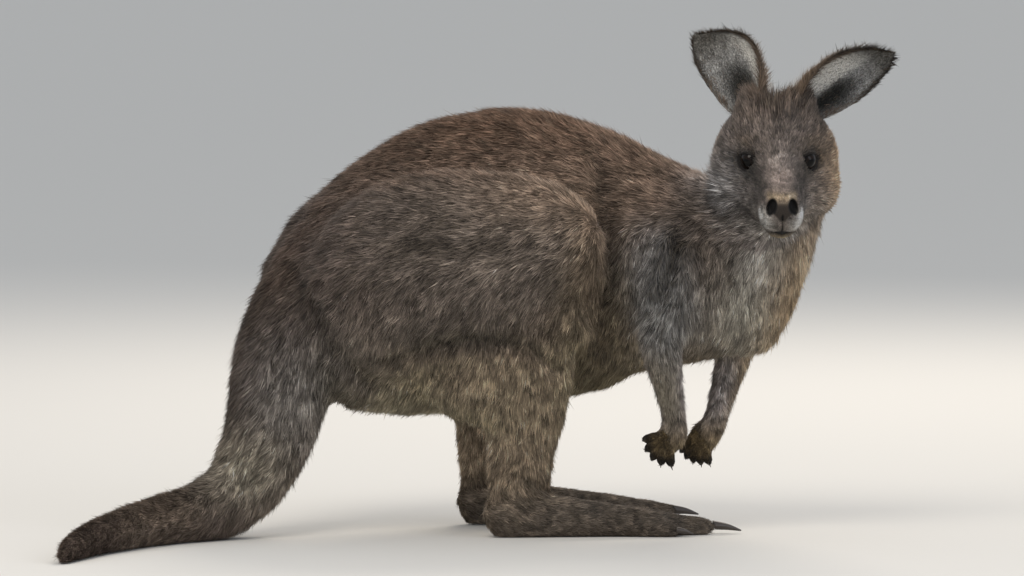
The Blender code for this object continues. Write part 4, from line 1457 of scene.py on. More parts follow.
# In the animal's frame.
BODY_PATCHES = (
    Patch((-20, 0, 520), (330, WIDE, 90), "#6f5646", 0.8, (0, 0, 1)),
    Patch((-240, 0, 350), (90, WIDE, 110), "#61524c", 0.7),
    # Painted highlight along the top of the near thigh.
    Patch((35, -120, 408), (72, 110, 34), "#9f8c7c", 0.8),
    # The near thigh's tan front edge, partly a painted highlight.
    Patch((88, -120, 330), (22, 110, 70), "#978571", 0.6),
    Patch((75, -120, 215), (24, 110, 80), "#a79a80", 0.65),
    # Painted shade along the creases over the near knee and across the near thigh.
    Patch((-40, -120, 246), (95, 110, 15), "#45403c", 0.55),
    Patch((-60, -120, 352), (100, 110, 14), "#4f4843", 0.45),
    Patch((-130, 0, 150), (60, WIDE, 32), "#aaa491", 0.7),
    Patch((-224, 0, 190), (36, WIDE, 56), "#9a958e", 0.7),
    Patch((60, 0, 170), (300, WIDE, 70), "#a89e81", 0.8, (0, 0, -1)),
    Patch((122, -60, 262), (26, 90, 80), "#82765f", 0.75),
    # Painted shade in the crease behind the near shoulder.
    Patch((214, -100, 398), (18, 70, 28), "#2c2927", 0.85),
    Patch((198, -100, 352), (18, 70, 32), "#2f2c2a", 0.85),
    Patch((180, -100, 308), (15, 70, 26), "#3a3633", 0.6),
    Patch((176, -100, 270), (30, 60, 44), "#979693", 0.65),
    Patch((284, -60, 275), (46, 120, 66), "#cecbbf", 0.85),
    Patch((325, -60, 318), (40, 110, 46), "#e0ddd7", 0.85),
    Patch((246, -100, 332), (28, 60, 34), "#6d645c", 0.6),
    Patch((276, -100, 352), (5, 40, 12), "#2d2824", 0.8),
    Patch((262, -100, 318), (4, 40, 26), "#3a332e", 0.6),
    # Painted shade in the crease between the near thigh and the tail.
    Patch((-224, -100, 262), (13, 80, 34), "#443d37", 0.5),
    Patch((245, 70, 150), (32, 42, 75), "#857a70", 0.75),
    Patch((345, 0, 300), (60, WIDE, 100), "#bb9c72", 0.7, (1, 0, -0.1)),
    Patch((300, 60, 180), (46, 70, 80), "#a68e6a", 0.7, (1, 0, 0)),
    Patch((-310, 0, 275), (44, WIDE, 60), "#40352e", 0.85),
    Patch((-347, 0, 175), (38, WIDE, 60), "#40352e", 0.85),
    Patch((-388, 0, 95), (34, WIDE, 45), "#40352e", 0.8),
    Patch((-430, -150, 34), (130, 160, 60), "#3f352e", 0.75, (0, 0, 1)),
    Patch((-268, 0, 170), (44, WIDE, 72), "#a8a39d", 0.75),
    Patch((-312, 0, 88), (50, WIDE, 46), "#c1b9a6", 0.75),
    Patch((150, 0, 10), (90, WIDE, 22), "#4d443b", 0.6),
)

# In the head's frame, with y taken on either side.
HEAD_PATCHES = (
    Patch((-20, 0, 80), (46, 46, 20), "#514236", 0.9),
    Patch((-12, 0, 72), (28, 5, 18), "#31271f", 0.5),
    Patch((50, 0, 38), (26, 15, 14), "#4c4641", 0.5),
    Patch((26, 44, 41), (14, 15, 5.5), "#8b745a", 0.45),
    Patch((38, 28, 34), (9, 8, 9), "#38322e", 0.7),
    Patch((72, 0, 32), (34, 19, 17), "#b3a59c", 0.88),
    Patch((88, 0, 22), (20, 13, 12), "#c2afa5", 0.75),
    # Round each eye: painted shade of its hollow, with a flat top, over the dark fur there.
    Patch((33, 41, 18.5), (19, 16, 13), "#100e0c", 0.97),
    Patch((49, 30, 16), (9, 7, 7), "#14110f", 0.9),
    Patch((20, 49, 20), (12, 11, 9), "#171411", 0.85),
    Patch((30, 40, 36), (16, 10, 6), "#2f2a26", 0.6),
    Patch((46, 36, 9), (14, 11, 9), "#151311", 0.98),
    # Along the muzzle's sides: painted shade between the bridge and the cheeks, over their darker fur.
    Patch((64, 28, 8), (15, 8, 10), "#2b2724", 0.95),
    Patch((84, 23, 3), (12, 7, 10), "#332e2a", 0.85),
    Patch((64, 33, -11), (17, 9, 10), "#443e3a", 0.8),
    Patch((18, 62, -22), (42, 32, 36), "#a8a8a9", 0.6),
    Patch((70, 34, -34), (22, 20, 13), "#9f9990", 0.7),
    Patch((88, 0, -50), (26, 22, 9), "#a18f63", 0.8),
    Patch((30, 0, -62), (46, 40, 16), "#b7b3ab", 0.6),
    Patch((2, 50, -56), (12, 14, 10), "#4c4640", 0.6),
    Patch((5, 70, -15), (50, 34, 60), "#b08f68", 0.7, (1, 0, 0)),
)


@dataclass(frozen=True)
class Muzzle:
    """The nose, lips and mouth, in the head's frame."""

    nostril_at: Triple = (113.0, 12.6, -5.0)
    nostril_size: Triple = (12.0, 6.0, 9.8)
    nostril_slant: float = 0.18     # inward for each step up
    nostril_depth: float = 6.0
    rim_rise: float = 1.3           # of the rim round a nostril
    # Places round a nostril, 1 at its rim.
    rim_at: float = 1.25
    rim_width: float = 0.3
    nostril_wall: Pair = (1.1, 0.55)
    # where the painted shade in a nostril fades in
    nostril_dark: Pair = (1.25, 0.95)
    lobe_at: Triple = (104.0, 15.0, -22.0)  # the puffed upper lip
    lobe_size: Triple = (16.0, 11.0, 10.0)
    lobe_rise: float = 2.4
    hollow_at: Triple = (60.0, 34.0, -8.0)  # between bridge and cheek
    hollow_size: Triple = (24.0, 14.0, 16.0)
    hollow_depth: float = 3.5
    nose_way: Triple = (1.0, 0.35, 0.0)     # forward, out, up: it is worked this way
    lip_way: Triple = (0.5, 0.8, -0.1)
    front: Pair = (96.0, 104.0)     # forward, where the nose's front starts
    cleft_low: Pair = (-39.0, -33.0)    # the groove from the nose down to the mouth
    cleft_top: Pair = (-9.0, -15.0)
    cleft_width: float = 1.5
    cleft_depth: float = 2.2
    mouth_height: float = -38.5     # of the mouth line at the front
    mouth_climb: float = 9.0        # of the mouth line up to its corners
    mouth_bend: Pair = (96.0, 60.0)     # forward, from the front to the corners
    mouth_end: Pair = (54.0, 68.0)  # where it fades out at its corners
    mouth_side: float = 0.2         # how strong it is at the sides, of its strength in the middle
    mouth_strong: Pair = (15.0, 8.0)    # out to the sides, where it grows strong
    mouth_width: float = 1.7
    mouth_wider: float = 2.8        # in the middle, more
    mouth_wide: Pair = (10.0, 1.0)  # out to the sides, where it grows wide
    mouth_depth: float = 2.4
    lip_size: Triple = (15.0, 13.0, 12.5)   # of the pale lips
    lip_colour: str = "#d0ccc5"
    lip_strength: float = 2.1
    lip_least: float = 0.14         # taken off, so that they end
    pad_front: Pair = (98.0, 106.0)
    pad_half: float = 4.0           # of the bare pad's width, at its foot
    pad_wider: float = 8.5          # at its top, more
    pad_widens: Pair = (-19.0, -6.0)
    pad_edge: Pair = (2.0, -1.0)
    pad_foot: Pair = (-22.0, -17.0)
    pad_top: Pair = (5.0, 0.0)
    pad_colour: str = "#2d2722"
    pad_strength: float = 0.94
    top_at: float = 6.0             # height of the pale tan over the nose, partly a painted highlight
    top_width: float = 3.8
    top_sides: Pair = (22.0, 14.0)
    top_tan_and_highlight: str = "#ab987f"
    top_strength: float = 0.9
    dark: str = "#0b0908"           # painted shade in the nostrils, the cleft and the mouth line
    cleft_dark: float = 1.3
    mouth_dark: float = 1.7
    line_bare: Pair = (0.3, 0.7)    # share of cleft or mouth, where the skin is bare

    def share(self, local: np.ndarray, at: tuple, size: tuple) -> np.ndarray:
        """Tell how near points lie to a place on either side, as a soft share."""
        mirrored = np.stack([local[:, 0], np.abs(local[:, 1]), local[:, 2]], axis=1)
        return np.exp(-np.sum(((mirrored - at) / size) ** 2, axis=1))

    def sided(self, way: Triple, local: np.ndarray) -> np.ndarray:
        """Turn a way that is given forward, out and up to the side that each point lies on."""
        return unit(np.where([False, True, False], np.sign(local[:, 1:2]), 1.0) * np.array(way))

    def mouth_line(self, forward: np.ndarray) -> np.ndarray:
        """Give the mouth line's height at a place forward."""
        return self.mouth_height + self.mouth_climb * smooth(*self.mouth_bend, forward)

    def nostril(self, local: np.ndarray) -> np.ndarray:
        """Give how far out of the nostrils points lie.

        Args:
            local: Points in the head's frame.

        Returns:
            One value for each, 1 at the nostrils' rims.
        """
        tall = local[:, 2] - self.nostril_at[2]
        wide = np.abs(local[:, 1]) - self.nostril_at[1] + self.nostril_slant * tall
        deep = (local[:, 0] - self.nostril_at[0]) / self.nostril_size[0]
        return np.sqrt((wide / self.nostril_size[1]) ** 2 + (tall / self.nostril_size[2]) ** 2 + deep**2)

    def lines(self, local: np.ndarray) -> tuple[np.ndarray, np.ndarray]:
        """Tell how much each point lies in the cleft and in the mouth line.

        Args:
            local: Points in the head's frame.

        Returns:
            The two shares of each point.
        """
        x, y, z = local.T
        high = smooth(*self.cleft_low, z) * smooth(*self.cleft_top, z)
        cleft = bump(y, self.cleft_width) * high * smooth(*self.front, x)
        strength = self.mouth_side + (1 - self.mouth_side) * smooth(*self.mouth_strong, np.abs(y))
        width = self.mouth_width + self.mouth_wider * smooth(*self.mouth_wide, np.abs(y))
        mouth = bump(z - self.mouth_line(x), width) * smooth(*self.mouth_end, x) * strength
        return cleft, mouth

    def shaped(self, local: np.ndarray) -> np.ndarray:
        """Press the nostrils, the cleft and the mouth line into the skin and puff up the lips.

        Args:
            local: Points in the head's frame.

        Returns:
            The moved points.
        """
        hole = self.nostril(local)
        cleft, mouth = self.lines(local)
        rise = self.rim_rise * bump(hole - self.rim_at, self.rim_width)
        rise = rise - self.nostril_depth * smooth(*self.nostril_wall, hole) - self.cleft_depth * cleft
        moved = local + self.sided(self.nose_way, local) * rise[:, None]
        puff = self.lobe_rise * self.share(local, self.lobe_at, self.lobe_size)
        puff -= self.hollow_depth * self.share(local, self.hollow_at, self.hollow_size)
        return moved + self.sided(self.lip_way, local) * (puff - self.mouth_depth * mouth)[:, None]

    def pad(self, local: np.ndarray) -> np.ndarray:
        """Tell how much each point lies on the nose's bare pad.

        Args:
            local: Places in the head's frame.

        Returns:
            One share for each.
        """
        x, y, z = local.T
        half = self.pad_half + self.pad_wider * smooth(*self.pad_widens, z)
        outer, inner = self.pad_edge
        across = smooth(half + outer, half + inner, np.abs(y))
        return across * smooth(*self.pad_foot, z) * smooth(*self.pad_top, z) * smooth(*self.pad_front, x)

    def coloured(
        self, local: np.ndarray, colour: np.ndarray, head: np.ndarray
    ) -> tuple[np.ndarray, np.ndarray]:
        """Colour the nose, the lips and the mouth, with painted shade in the nostrils, the cleft and the
        mouth line and a painted highlight in the tan over the nose.

        Args:
            local: Places in the head's frame.
            colour: Their colours so far.
            head: 1 on the head.

        Returns:
            The new colours, and 1 where the skin is bare.
        """
        x, y, z = local.T
        hole = smooth(*self.nostril_dark, self.nostril(local)) * head
        cleft, mouth = (line * head for line in self.lines(local))
        lips = self.lip_strength * self.share(local, self.lobe_at, self.lip_size) * head
        colour = mixed(colour, linear(self.lip_colour), np.clip(lips - self.lip_least, 0, 1))
        pad = self.pad(local) * head
        colour = mixed(colour, linear(self.pad_colour), self.pad_strength * pad)
        # Pale tan over the nose, partly a painted highlight.
        top = smooth(*self.top_sides, np.abs(y)) * bump(z - self.top_at, self.top_width)
        top = top * smooth(*self.front, x) * head
        colour = mixed(colour, linear(self.top_tan_and_highlight), self.top_strength * top)
        # Painted shade in the nostrils, the cleft and the mouth line.
        dark = np.maximum(np.maximum(hole, self.cleft_dark * cleft), self.mouth_dark * mouth)
        colour = mixed(colour, linear(self.dark), np.clip(dark, 0, 1))
        bare = np.maximum(np.maximum(pad, hole), smooth(*self.line_bare, np.maximum(cleft, mouth)))
        return colour, bare


MUZZLE = Muzzle()


FACE_EDGE = (-70.0, -20.0)      # along the head, where its own markings fade in
FACE_SLANT = 0.3                # how much sooner they do so higher up


def marked(
    surface_points: np.ndarray, normals: np.ndarray, tone: np.ndarray, part: np.ndarray
) -> np.ndarray:
    """Colour the coat of the body and the head: its pattern, with painted shade and painted highlights
    among the patches.

    Args:
        surface_points: Places in the model, metres.
        normals: The way the skin faces there.
        tone: The ground colour of each place.
        part: The node that each place lies on.

    Returns:
        A linear colour for each place.
    """
    spots = in_animal(surface_points)
    body = face = tone
    for patch in BODY_PATCHES:
        body = patch.laid(body, spots, normals)
    local = HEAD.inward(surface_points)
    local[:, 1] = np.abs(local[:, 1])
    for patch in HEAD_PATCHES:
        face = patch.laid(face, local, normals)
    on_head = 1.0 * (part == FLESH.index("head"))
    on_head = on_head * smooth(*FACE_EDGE, local[:, 0] + FACE_SLANT * local[:, 2])
    return mixed(body, face, on_head)


# ---- Finishes ----
MIX_A, MIX_B, MIX_OUT = 6, 7, 2     # the mix node's colour sockets


def shader_of(name: str) -> tuple[bpy.types.Material, bpy.types.NodeTree, bpy.types.Node]:
    """Start a material.

    Args:
        name: Its name.

    Returns:
        The material, its node tree and its shader.
    """
    material = bpy.data.materials.new(name)
    material.use_nodes = True
    return material, material.node_tree, material.node_tree.nodes["Principled BSDF"]


def fix(shader: bpy.types.Node, **values: float) -> None:
    """Set the shader's own sockets, each named with _ for a space."""
    for key, value in values.items():
        shader.inputs[key.replace("_", " ")].default_value = value


def stored(tree: bpy.types.NodeTree, name: str, output: str) -> bpy.types.NodeSocket:
    """Read what the mesh stores for each vertex under a name."""
    return node(tree, "ShaderNodeAttribute", {"attribute_name": name}).outputs[output]


def noise(tree: bpy.types.NodeTree, spacing: float, detail: float) -> bpy.types.NodeSocket:
    """Make noise that is fixed to the object.

    Args:
        tree: The material's node tree.
        spacing: From wave to wave.
        detail: How many finer waves lie on them.

    Returns:
        The noise, from 0 to 1.
    """
    place = node(tree, "ShaderNodeTexCoord").outputs["Object"]
    settings = {"Scale": 1 / (spacing * MM), "Detail": detail}
    return node(tree, "ShaderNodeTexNoise", settings, Vector=place).outputs["Fac"]


def ranged(
    tree: bpy.types.NodeTree, source: bpy.types.NodeSocket, to: Pair, start: Pair = (0.0, 1.0)
) -> bpy.types.NodeSocket:
    """Map values from one range to another.

    Args:
        tree: The material's node tree.
        source: The values.
        to: The range they are mapped to.
        start: The range they come from.

    Returns:
        The mapped values.
    """
    settings = {"From Min": start[0], "From Max": start[1], "To Min": to[0], "To Max": to[1]}
    return node(tree, "ShaderNodeMapRange", settings, Value=source).outputs["Result"]


def relief(
    tree: bpy.types.NodeTree, height: bpy.types.NodeSocket, strength: float, distance: float
) -> bpy.types.NodeSocket:
    """Make a fine relief, `distance` millimetres high."""
    settings = {"Strength": strength, "Distance": distance * MM}
    return node(tree, "ShaderNodeBump", settings, Height=height).outputs["Normal"]


@dataclass(frozen=True)
class FurredSkin:
    """Skin under short fur: it shows between the tufts as a soft dull ground."""

    hair: float = 0.9               # spacing of the hair's fine grain
    shade: Pair = (0.62, 1.05)      # that the grain gives the colour
    gloss: Pair = (0.9, 0.55)       # roughness under fur, and where the skin is bare
    bump: float = 0.25

    def material(self) -> bpy.types.Material:
        """Build the material.

        Returns:
            The skin's material, which reads the markings and where the skin is bare.
        """
        material, tree, shader = shader_of("hide under fur")
        fix(shader, IOR=1.4, Sheen_Weight=0.03, Sheen_Roughness=0.6, Specular_IOR_Level=0.2)
        grain = noise(tree, self.hair, detail=3.0)
        deepened = node(
            tree, "ShaderNodeVectorMath", {"operation": "SCALE"},
            Vector=stored(tree, "markings", "Color"),
            Scale=ranged(tree, grain, self.shade, start=(0.3, 0.7)),
        )
        rough = ranged(tree, stored(tree, "bare", "Fac"), self.gloss)
        join(
            shader, Base_Color=deepened.outputs["Vector"], Roughness=rough,
            Normal=relief(tree, grain, self.bump, distance=0.4),
        )
        return material


@dataclass(frozen=True)
class GuardHair:
    """Kangaroo fur: soft matt hair with a faint silky sheen along each tuft."""

    strand: float = 0.5             # width of the fine strands drawn within a tuft
    gloss: Pair = (0.62, 0.85)      # roughness from strand to strand

    def material(self) -> bpy.types.Material:
        """Build the material.

        Returns:
            The coat's material, which reads the tufts' own colours.
        """
        material, tree, shader = shader_of("guard hair")
        fix(shader, IOR=1.5, Sheen_Weight=0.05, Sheen_Roughness=0.45, Specular_IOR_Level=0.12)
        rough = ranged(tree, noise(tree, self.strand, detail=1.0), self.gloss)
        join(shader, Base_Color=stored(tree, "markings", "Color"), Roughness=rough)
        return material


@dataclass(frozen=True)
class WetEye:
    """A wet eyeball: a clear tear film over a very dark brown iris."""

    film: float = 6.0               # spacing of the tear film's uneven places
    gloss: Pair = (0.03, 0.09)

    def material(self) -> bpy.types.Material:
        """Build the material.

        Returns:
            The eye's material, which reads the iris colours.
        """
        material, tree, shader = shader_of("wet eye")
        fix(shader, IOR=1.3, Specular_IOR_Level=0.1, Coat_Weight=1.0, Coat_Roughness=0.03, Coat_IOR=1.2)
        rough = ranged(tree, noise(tree, self.film, detail=1.0), self.gloss)
        join(shader, Base_Color=stored(tree, "markings", "Color"), Roughness=rough)
        return material


@dataclass(frozen=True)
class Horn:
    """Claw horn: dark keratin with a fine grain of paler horn through it."""

    dark: str = "#1b1714"
    pale: str = "#4a4038"
    grain: float = 1.4              # spacing of the growth grain
    gloss: Pair = (0.28, 0.5)
    bump: float = 0.3

    def material(self) -> bpy.types.Material:
        """Build the material.

        Returns:
            The claws' material.
        """
        material, tree, shader = shader_of("claw horn")
        fix(shader, IOR=1.54)
        streak = noise(tree, self.grain, detail=4.0)
        ends = {MIX_A: (*linear(self.dark), 1), MIX_B: (*linear(self.pale), 1)}
        colour = node(tree, "ShaderNodeMix", {"data_type": "RGBA", **ends}, Factor=streak)
        join(
            shader, Base_Color=colour.outputs[MIX_OUT], Roughness=ranged(tree, streak, self.gloss),
            Normal=relief(tree, streak, self.bump, distance=0.3),
        )
        return material


# ---- The coat ----
@dataclass(frozen=True)
class Drift:
    """A slow change from place to place."""

    amount: float
    size: float                     # distance between the noise's independent values
    seed: int

    def at(self, spots: np.ndarray) -> np.ndarray:
        """Give the change at these places."""
        return self.amount * drift(spots, self.size, self.seed)


@dataclass(frozen=True)
class Clumps:
    """The clumps that tufts gather in: a grid of cells, pushed about."""

    seed: int = 8
    size: float = 7.0
    shift: float = 0.35             # of a clump's middle, of its size
    light: float = 0.34             # how much one clump is lighter than the next
    light_range: Pair = (-1.7, 1.2)
    swayed: tuple[Drift, ...] = (Drift(3.0, 10, 21), Drift(3.0, 10, 22), Drift(3.0, 10, 23))

    def at(self, spots: np.ndarray) -> tuple[np.ndarray, np.ndarray]:
        """Find the clumps of tufts.

        Args:
            spots: The tufts' places, in the animal's frame.

        Returns:
            The middle of each tuft's clump, and how light the clump is.
        """
        rng = np.random.default_rng(self.seed)
        shift = rng.uniform(-self.shift, self.shift, (CELLS, CELLS, CELLS, 3))
        light = np.exp(self.light * np.clip(rng.normal(size=(CELLS, CELLS, CELLS)), *self.light_range))
        swayed = spots + np.stack([sway.at(spots) for sway in self.swayed], axis=1)
        low = np.floor(swayed / self.size).astype(int)
        x, y, z = (low % CELLS).T
        return (low + 0.5 + shift[x, y, z]) * self.size, light[x, y, z]


@dataclass(frozen=True)
class Banding:
    """The colours along a tuft, as agouti hair has them: dark at the root, pale or black at the tip.

    A number without a comment is what the coat's light is multiplied by.
    """

    mottle: tuple[Drift, ...] = (Drift(0.33, 6, 8), Drift(0.24, 15, 10), Drift(0.2, 36, 9))
    tip_drift: Drift = Drift(0.12, 11, 12)      # of the draws
    pale_below: float = 0.3         # a draw from 0 to 1 makes the tip pale below this
    black_above: float = 0.86       # and black above this
    pale_colour: str = "#b3a48f"    # mixed into a pale tip
    pale_share: float = 0.28        # how much of it
    pale: float = 1.45
    black: float = 0.45
    tip: float = 1.25
    bright: Pair = (0.16, 0.5)      # light of the coats that are too pale for bands
    bright_tip: float = 1.1
    root: float = 0.42
    bright_root: float = 0.4        # added to it in a pale coat
    middle: float = 1.2             # of the root's light, at the tuft's upper corner

    def tints(
        self, ground: np.ndarray, spots: np.ndarray, chance: np.ndarray, calm: float,
        rng: np.random.Generator,
    ) -> np.ndarray:
        """Colour the tufts.

        Args:
            ground: The coat's colour at each tuft.
            spots: The tufts' places, in the animal's frame.
            chance: How much each tuft differs from its ground.
            calm: How much of the mottling shows.
            rng: The source of chance.

        Returns:
            A linear colour for each of the tufts' four vertices.
        """
        mottle = sum(part.at(spots) for part in self.mottle)
        tint = ground * np.exp(chance + calm * mottle)[:, None]
        draw = rng.uniform(size=len(ground)) - self.tip_drift.at(spots)
        pale = mixed(tint * self.pale, linear(self.pale_colour), np.full(len(ground), self.pale_share))
        tip = np.where((draw < self.pale_below)[:, None], pale, tint * self.tip)
        tip = np.where((draw > self.black_above)[:, None], tint * self.black, tip)
        bright = smooth(*self.bright, ground.mean(axis=1))[:, None]
        tip = tip * (1 - bright) + tint * self.bright_tip * bright
        low = tint * (self.root + self.bright_root * bright)
        rows = np.stack([low, low * self.middle, low, tip], axis=1)
        return np.clip(rows.reshape(-1, 3), 0, 1)


@dataclass(frozen=True)
class Sown:
    """Tufts sown on the skin."""

    surface: Surface
    face: np.ndarray                # the triangle that each stands on
    split: np.ndarray               # how near its root is to the triangle's corners, in shares

    def read(self, values: np.ndarray) -> np.ndarray:
        """Read one of the skin's values at each tuft's root."""
        return np.einsum("nk,nk...->n...", self.split, values[self.surface.faces[self.face]])

    def facing(self) -> np.ndarray:
        """Give the way that each tuft's triangle faces."""
        a, b, c = np.moveaxis(self.surface.points[self.surface.faces[self.face]], 1, 0)
        return unit(np.cross(b - a, c - a))


@dataclass
class Coat:
    """The fur: tapering solid tufts over the whole skin, in pieces by place."""

    tufts: int = 490_000            # in all
    most: int = 64_000              # in one piece
    patch: float = 0.003            # of the map that one tuft takes
    seed: int = 7
    sink_in: float = 0.6            # of each root below the skin
    lowest: float = 0.6             # height over the floor of the lowest tips
    thick: float = 0.8              # of a tuft at its root, of half its width
    turned: tuple[Drift, ...] = (Drift(20, 24, 3), Drift(16, 9, 4))     # degrees aside
    raised: Drift = Drift(0.3, 12, 5)   # share of the lift
    turn_spread: float = 8.0        # from tuft to tuft, degrees
    lift_spread: float = 0.28       # and of the logarithms of lift, length and width
    length_spread: float = 0.2
    width_spread: float = 0.18
    gathered: float = 0.45          # how far a tip is drawn to its clump's middle
    gather_length: float = 15.0     # in a coat this long
    grain: float = 0.34             # how much one tuft is lighter than the next
    face_grain: float = 0.46
    ear_calm: float = 0.35          # how much of the clumps and the mottling shows on the ears
    face_back: float = 30.0         # forward in the head, where the face's piece ends
    trunk_middle: float = 20.0      # to the left in the animal, where the trunk's two pieces part
    clumps: Clumps = Clumps()
    banding: Banding = Banding()
    finish: bpy.types.Material = field(default_factory=lambda: GuardHair().material(), repr=False)

    def build(self, skin: bpy.types.Object, surface: Surface) -> list[bpy.types.Object]:
        """Grow the coat.

        Args:
            skin: The finished skin, for its map.
            surface: What each vertex of the skin is.

        Returns:
            The coat's pieces.
        """
        rng = np.random.default_rng(self.seed)
        corners = surface.points[surface.faces]
        crossed = np.cross(corners[:, 1] - corners[:, 0], corners[:, 2] - corners[:, 0])
        area = np.linalg.norm(crossed, axis=1) / 2 / MM**2
        size = (surface.length * surface.width / 2)[surface.faces].mean(axis=1)
        wanted = area * surface.cover[surface.faces].mean(axis=1) / size
        log.info("tufts asked for: %d", wanted.sum())
        total = np.cumsum(wanted * (self.tufts / wanted.sum()))
        marks = np.arange(int(total[-1])) + rng.uniform(0, 1, int(total[-1]))
        face = np.minimum(np.searchsorted(total, marks), len(total) - 1)
        uv = self.map_corners(skin)
        part = surface.part[surface.faces[face, 0]]
        pieces = []
        for name, chosen in self.groups(surface, face, part):
            spots = np.nonzero(chosen)[0]
            cuts = max(1, math.ceil(len(spots) / self.most))
            for k in range(cuts):
                label = name if cuts == 1 else f"{name}_{k + 1}"
                some = spots[k * len(spots) // cuts:(k + 1) * len(spots) // cuts]
                pieces.append(self.piece(label, surface, face[some], uv, rng))
        return pieces

    def map_corners(self, skin: bpy.types.Object) -> np.ndarray:
        """Read the skin's map.

        Args:
            skin: The finished skin.

        Returns:
            Where each corner of each of its triangles lies on the map.
        """
        found = read_rows(skin.data.uv_layers[UV_NAME].uv, "vector", 2)
        return found.reshape(-1, 3, 2).astype(float)

    def groups(
        self, surface: Surface, face: np.ndarray, part: np.ndarray
    ) -> Iterator[tuple[str, np.ndarray]]:
        """Share the tufts out among the coat's pieces.

        Args:
            surface: What each vertex of the skin is.
            face: The triangle that each tuft stands on.
            part: The node that each tuft stands on.

        Yields:
            Each piece's name, and which tufts are its own.
        """
        spots = surface.points[surface.faces[face, 0]]
        local = HEAD.inward(spots)
        number = {name: k for k, name in enumerate(FLESH)}
        head = part == number["head"]
        yield "coat_face", head & (local[:, 0] > self.face_back)
        yield "coat_crown", head & (local[:, 0] <= self.face_back)
        yield "coat_ears", part == EAR_PART
        yield "coat_neck", part == number["neck"]
        trunk = part == number["trunk"]
        left = in_animal(spots)[:, 1] > self.trunk_middle
        yield "coat_trunk_right", trunk & ~left
        yield "coat_trunk_left", trunk & left
        for side in Side:
            yield f"coat_thigh_{side.word}", part == number[f"thigh_{side.word}"]
        for limb, name in (("shank", "coat_shanks"), ("foot", "coat_feet")):
            yield name, np.isin(part, [number[f"{limb}_{side.word}"] for side in Side])
        arms = [k for name, k in number.items() if kind_of(name) in ("upper_arm", "forearm", "paw")]
        yield "coat_arms", np.isin(part, arms)
        yield "coat_tail", np.isin(part, [k for name, k in number.items() if name.startswith("tail_")])

    def piece(
        self, name: str, surface: Surface, face: np.ndarray, uv: np.ndarray, rng: np.random.Generator
    ) -> bpy.types.Object:
        """Make one piece of the coat.

        Args:
            name: The piece's name.
            surface: What each vertex of the skin is.
            face: The triangle that each tuft stands on.
            uv: The skin's map.
            rng: The source of chance.

        Returns:
            The piece's object.
        """
        count = len(face)
        sown = Sown(surface, face, rng.dirichlet((1.0, 1.0, 1.0), count))
        chance = rng.normal(size=(5, count))
        spots = in_animal(sown.read(surface.points))
        centre, glow = self.clumps.at(spots)
        points = self.grown(sown, centre, chance)
        start = np.arange(count)[:, None] * 4
        faces = (start[:, :, None] + np.array([[0, 1, 3], [1, 2, 3], [2, 0, 3]])).reshape(-1, 3)
        mesh = mesh_from(name, points.reshape(-1, 3), faces)
        calm = self.ear_calm if name == "coat_ears" else 1.0
        grain = self.face_grain if name in ("coat_face", "coat_crown") else self.grain
        ground = sown.read(surface.colour) * glow[:, None] ** calm
        paint(mesh, self.banding.tints(ground, spots, grain * chance[4], calm, rng))
        self.lay_map(mesh, np.einsum("nk,nkd->nd", sown.split, uv[face]))
        mesh.materials.append(self.finish)
        piece = shown(name, mesh)
        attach(piece, BODY)
        return piece

    def grown(self, sown: Sown, centre: np.ndarray, chance: np.ndarray) -> np.ndarray:
        """Shape the tufts.

        Args:
            sown: Where they stand.
            centre: The middle of each tuft's clump, in the animal's frame.
            chance: Rows of random values, one for each tuft.

        Returns:
            The tufts' points in metres: three round each root, and the tip.
        """
        surface, normal = sown.surface, sown.facing()
        root, way = sown.read(surface.points), sown.read(surface.way)
        spots = in_animal(root)
        along = unit(way - normal * np.sum(way * normal, axis=1)[:, None])
        across = np.cross(normal, along)
        turn = np.radians(sum(part.at(spots) for part in self.turned) + self.turn_spread * chance[0])
        along = along * np.cos(turn)[:, None] + across * np.sin(turn)[:, None]
        across = np.cross(normal, along)
        lift = sown.read(surface.lift) * (1 + self.raised.at(spots)) * np.exp(self.lift_spread * chance[1])
        lift = np.radians(lift)
        long = sown.read(surface.length)
        length = long * np.exp(self.length_spread * chance[2])
        width = sown.read(surface.width) * np.exp(self.width_spread * chance[3])
        gather = (centre - spots) * MM
        gather -= normal * np.sum(gather * normal, axis=1)[:, None]
        gather *= (self.gathered * long / self.gather_length)[:, None]
        rise = along * np.sin(-lift)[:, None] + normal * np.cos(lift)[:, None]
        ahead = along * np.cos(lift)[:, None] + normal * np.sin(lift)[:, None]
        low = root - normal * (self.sink_in * MM)
        half = (width * MM / 2)[:, None]
        tip = root + ahead * (length * MM)[:, None] + gather
        top = low + rise * half * self.thick
        points = np.stack([low - across * half, top, low + across * half, tip], axis=1)
        points[..., 2] = np.maximum(points[..., 2], self.lowest * MM)
        return points

    def lay_map(self, mesh: bpy.types.Mesh, spots: np.ndarray) -> None:
        """Lay each tuft on the map as a small patch at its root's place.

        Args:
            mesh: The piece's mesh.
            spots: The roots' places on the map.
        """
        corners = np.array([[-0.5, -0.5], [0.0, 0.5], [0.5, -0.5], [0.0, -0.15]]) * self.patch
        laid = spots[:, None] + corners
        order = np.array([0, 1, 3, 1, 2, 3, 2, 0, 3])
        layer = mesh.uv_layers.new(name=UV_NAME)
        layer.uv.foreach_set("vector", laid[:, order].astype(np.float32).ravel())


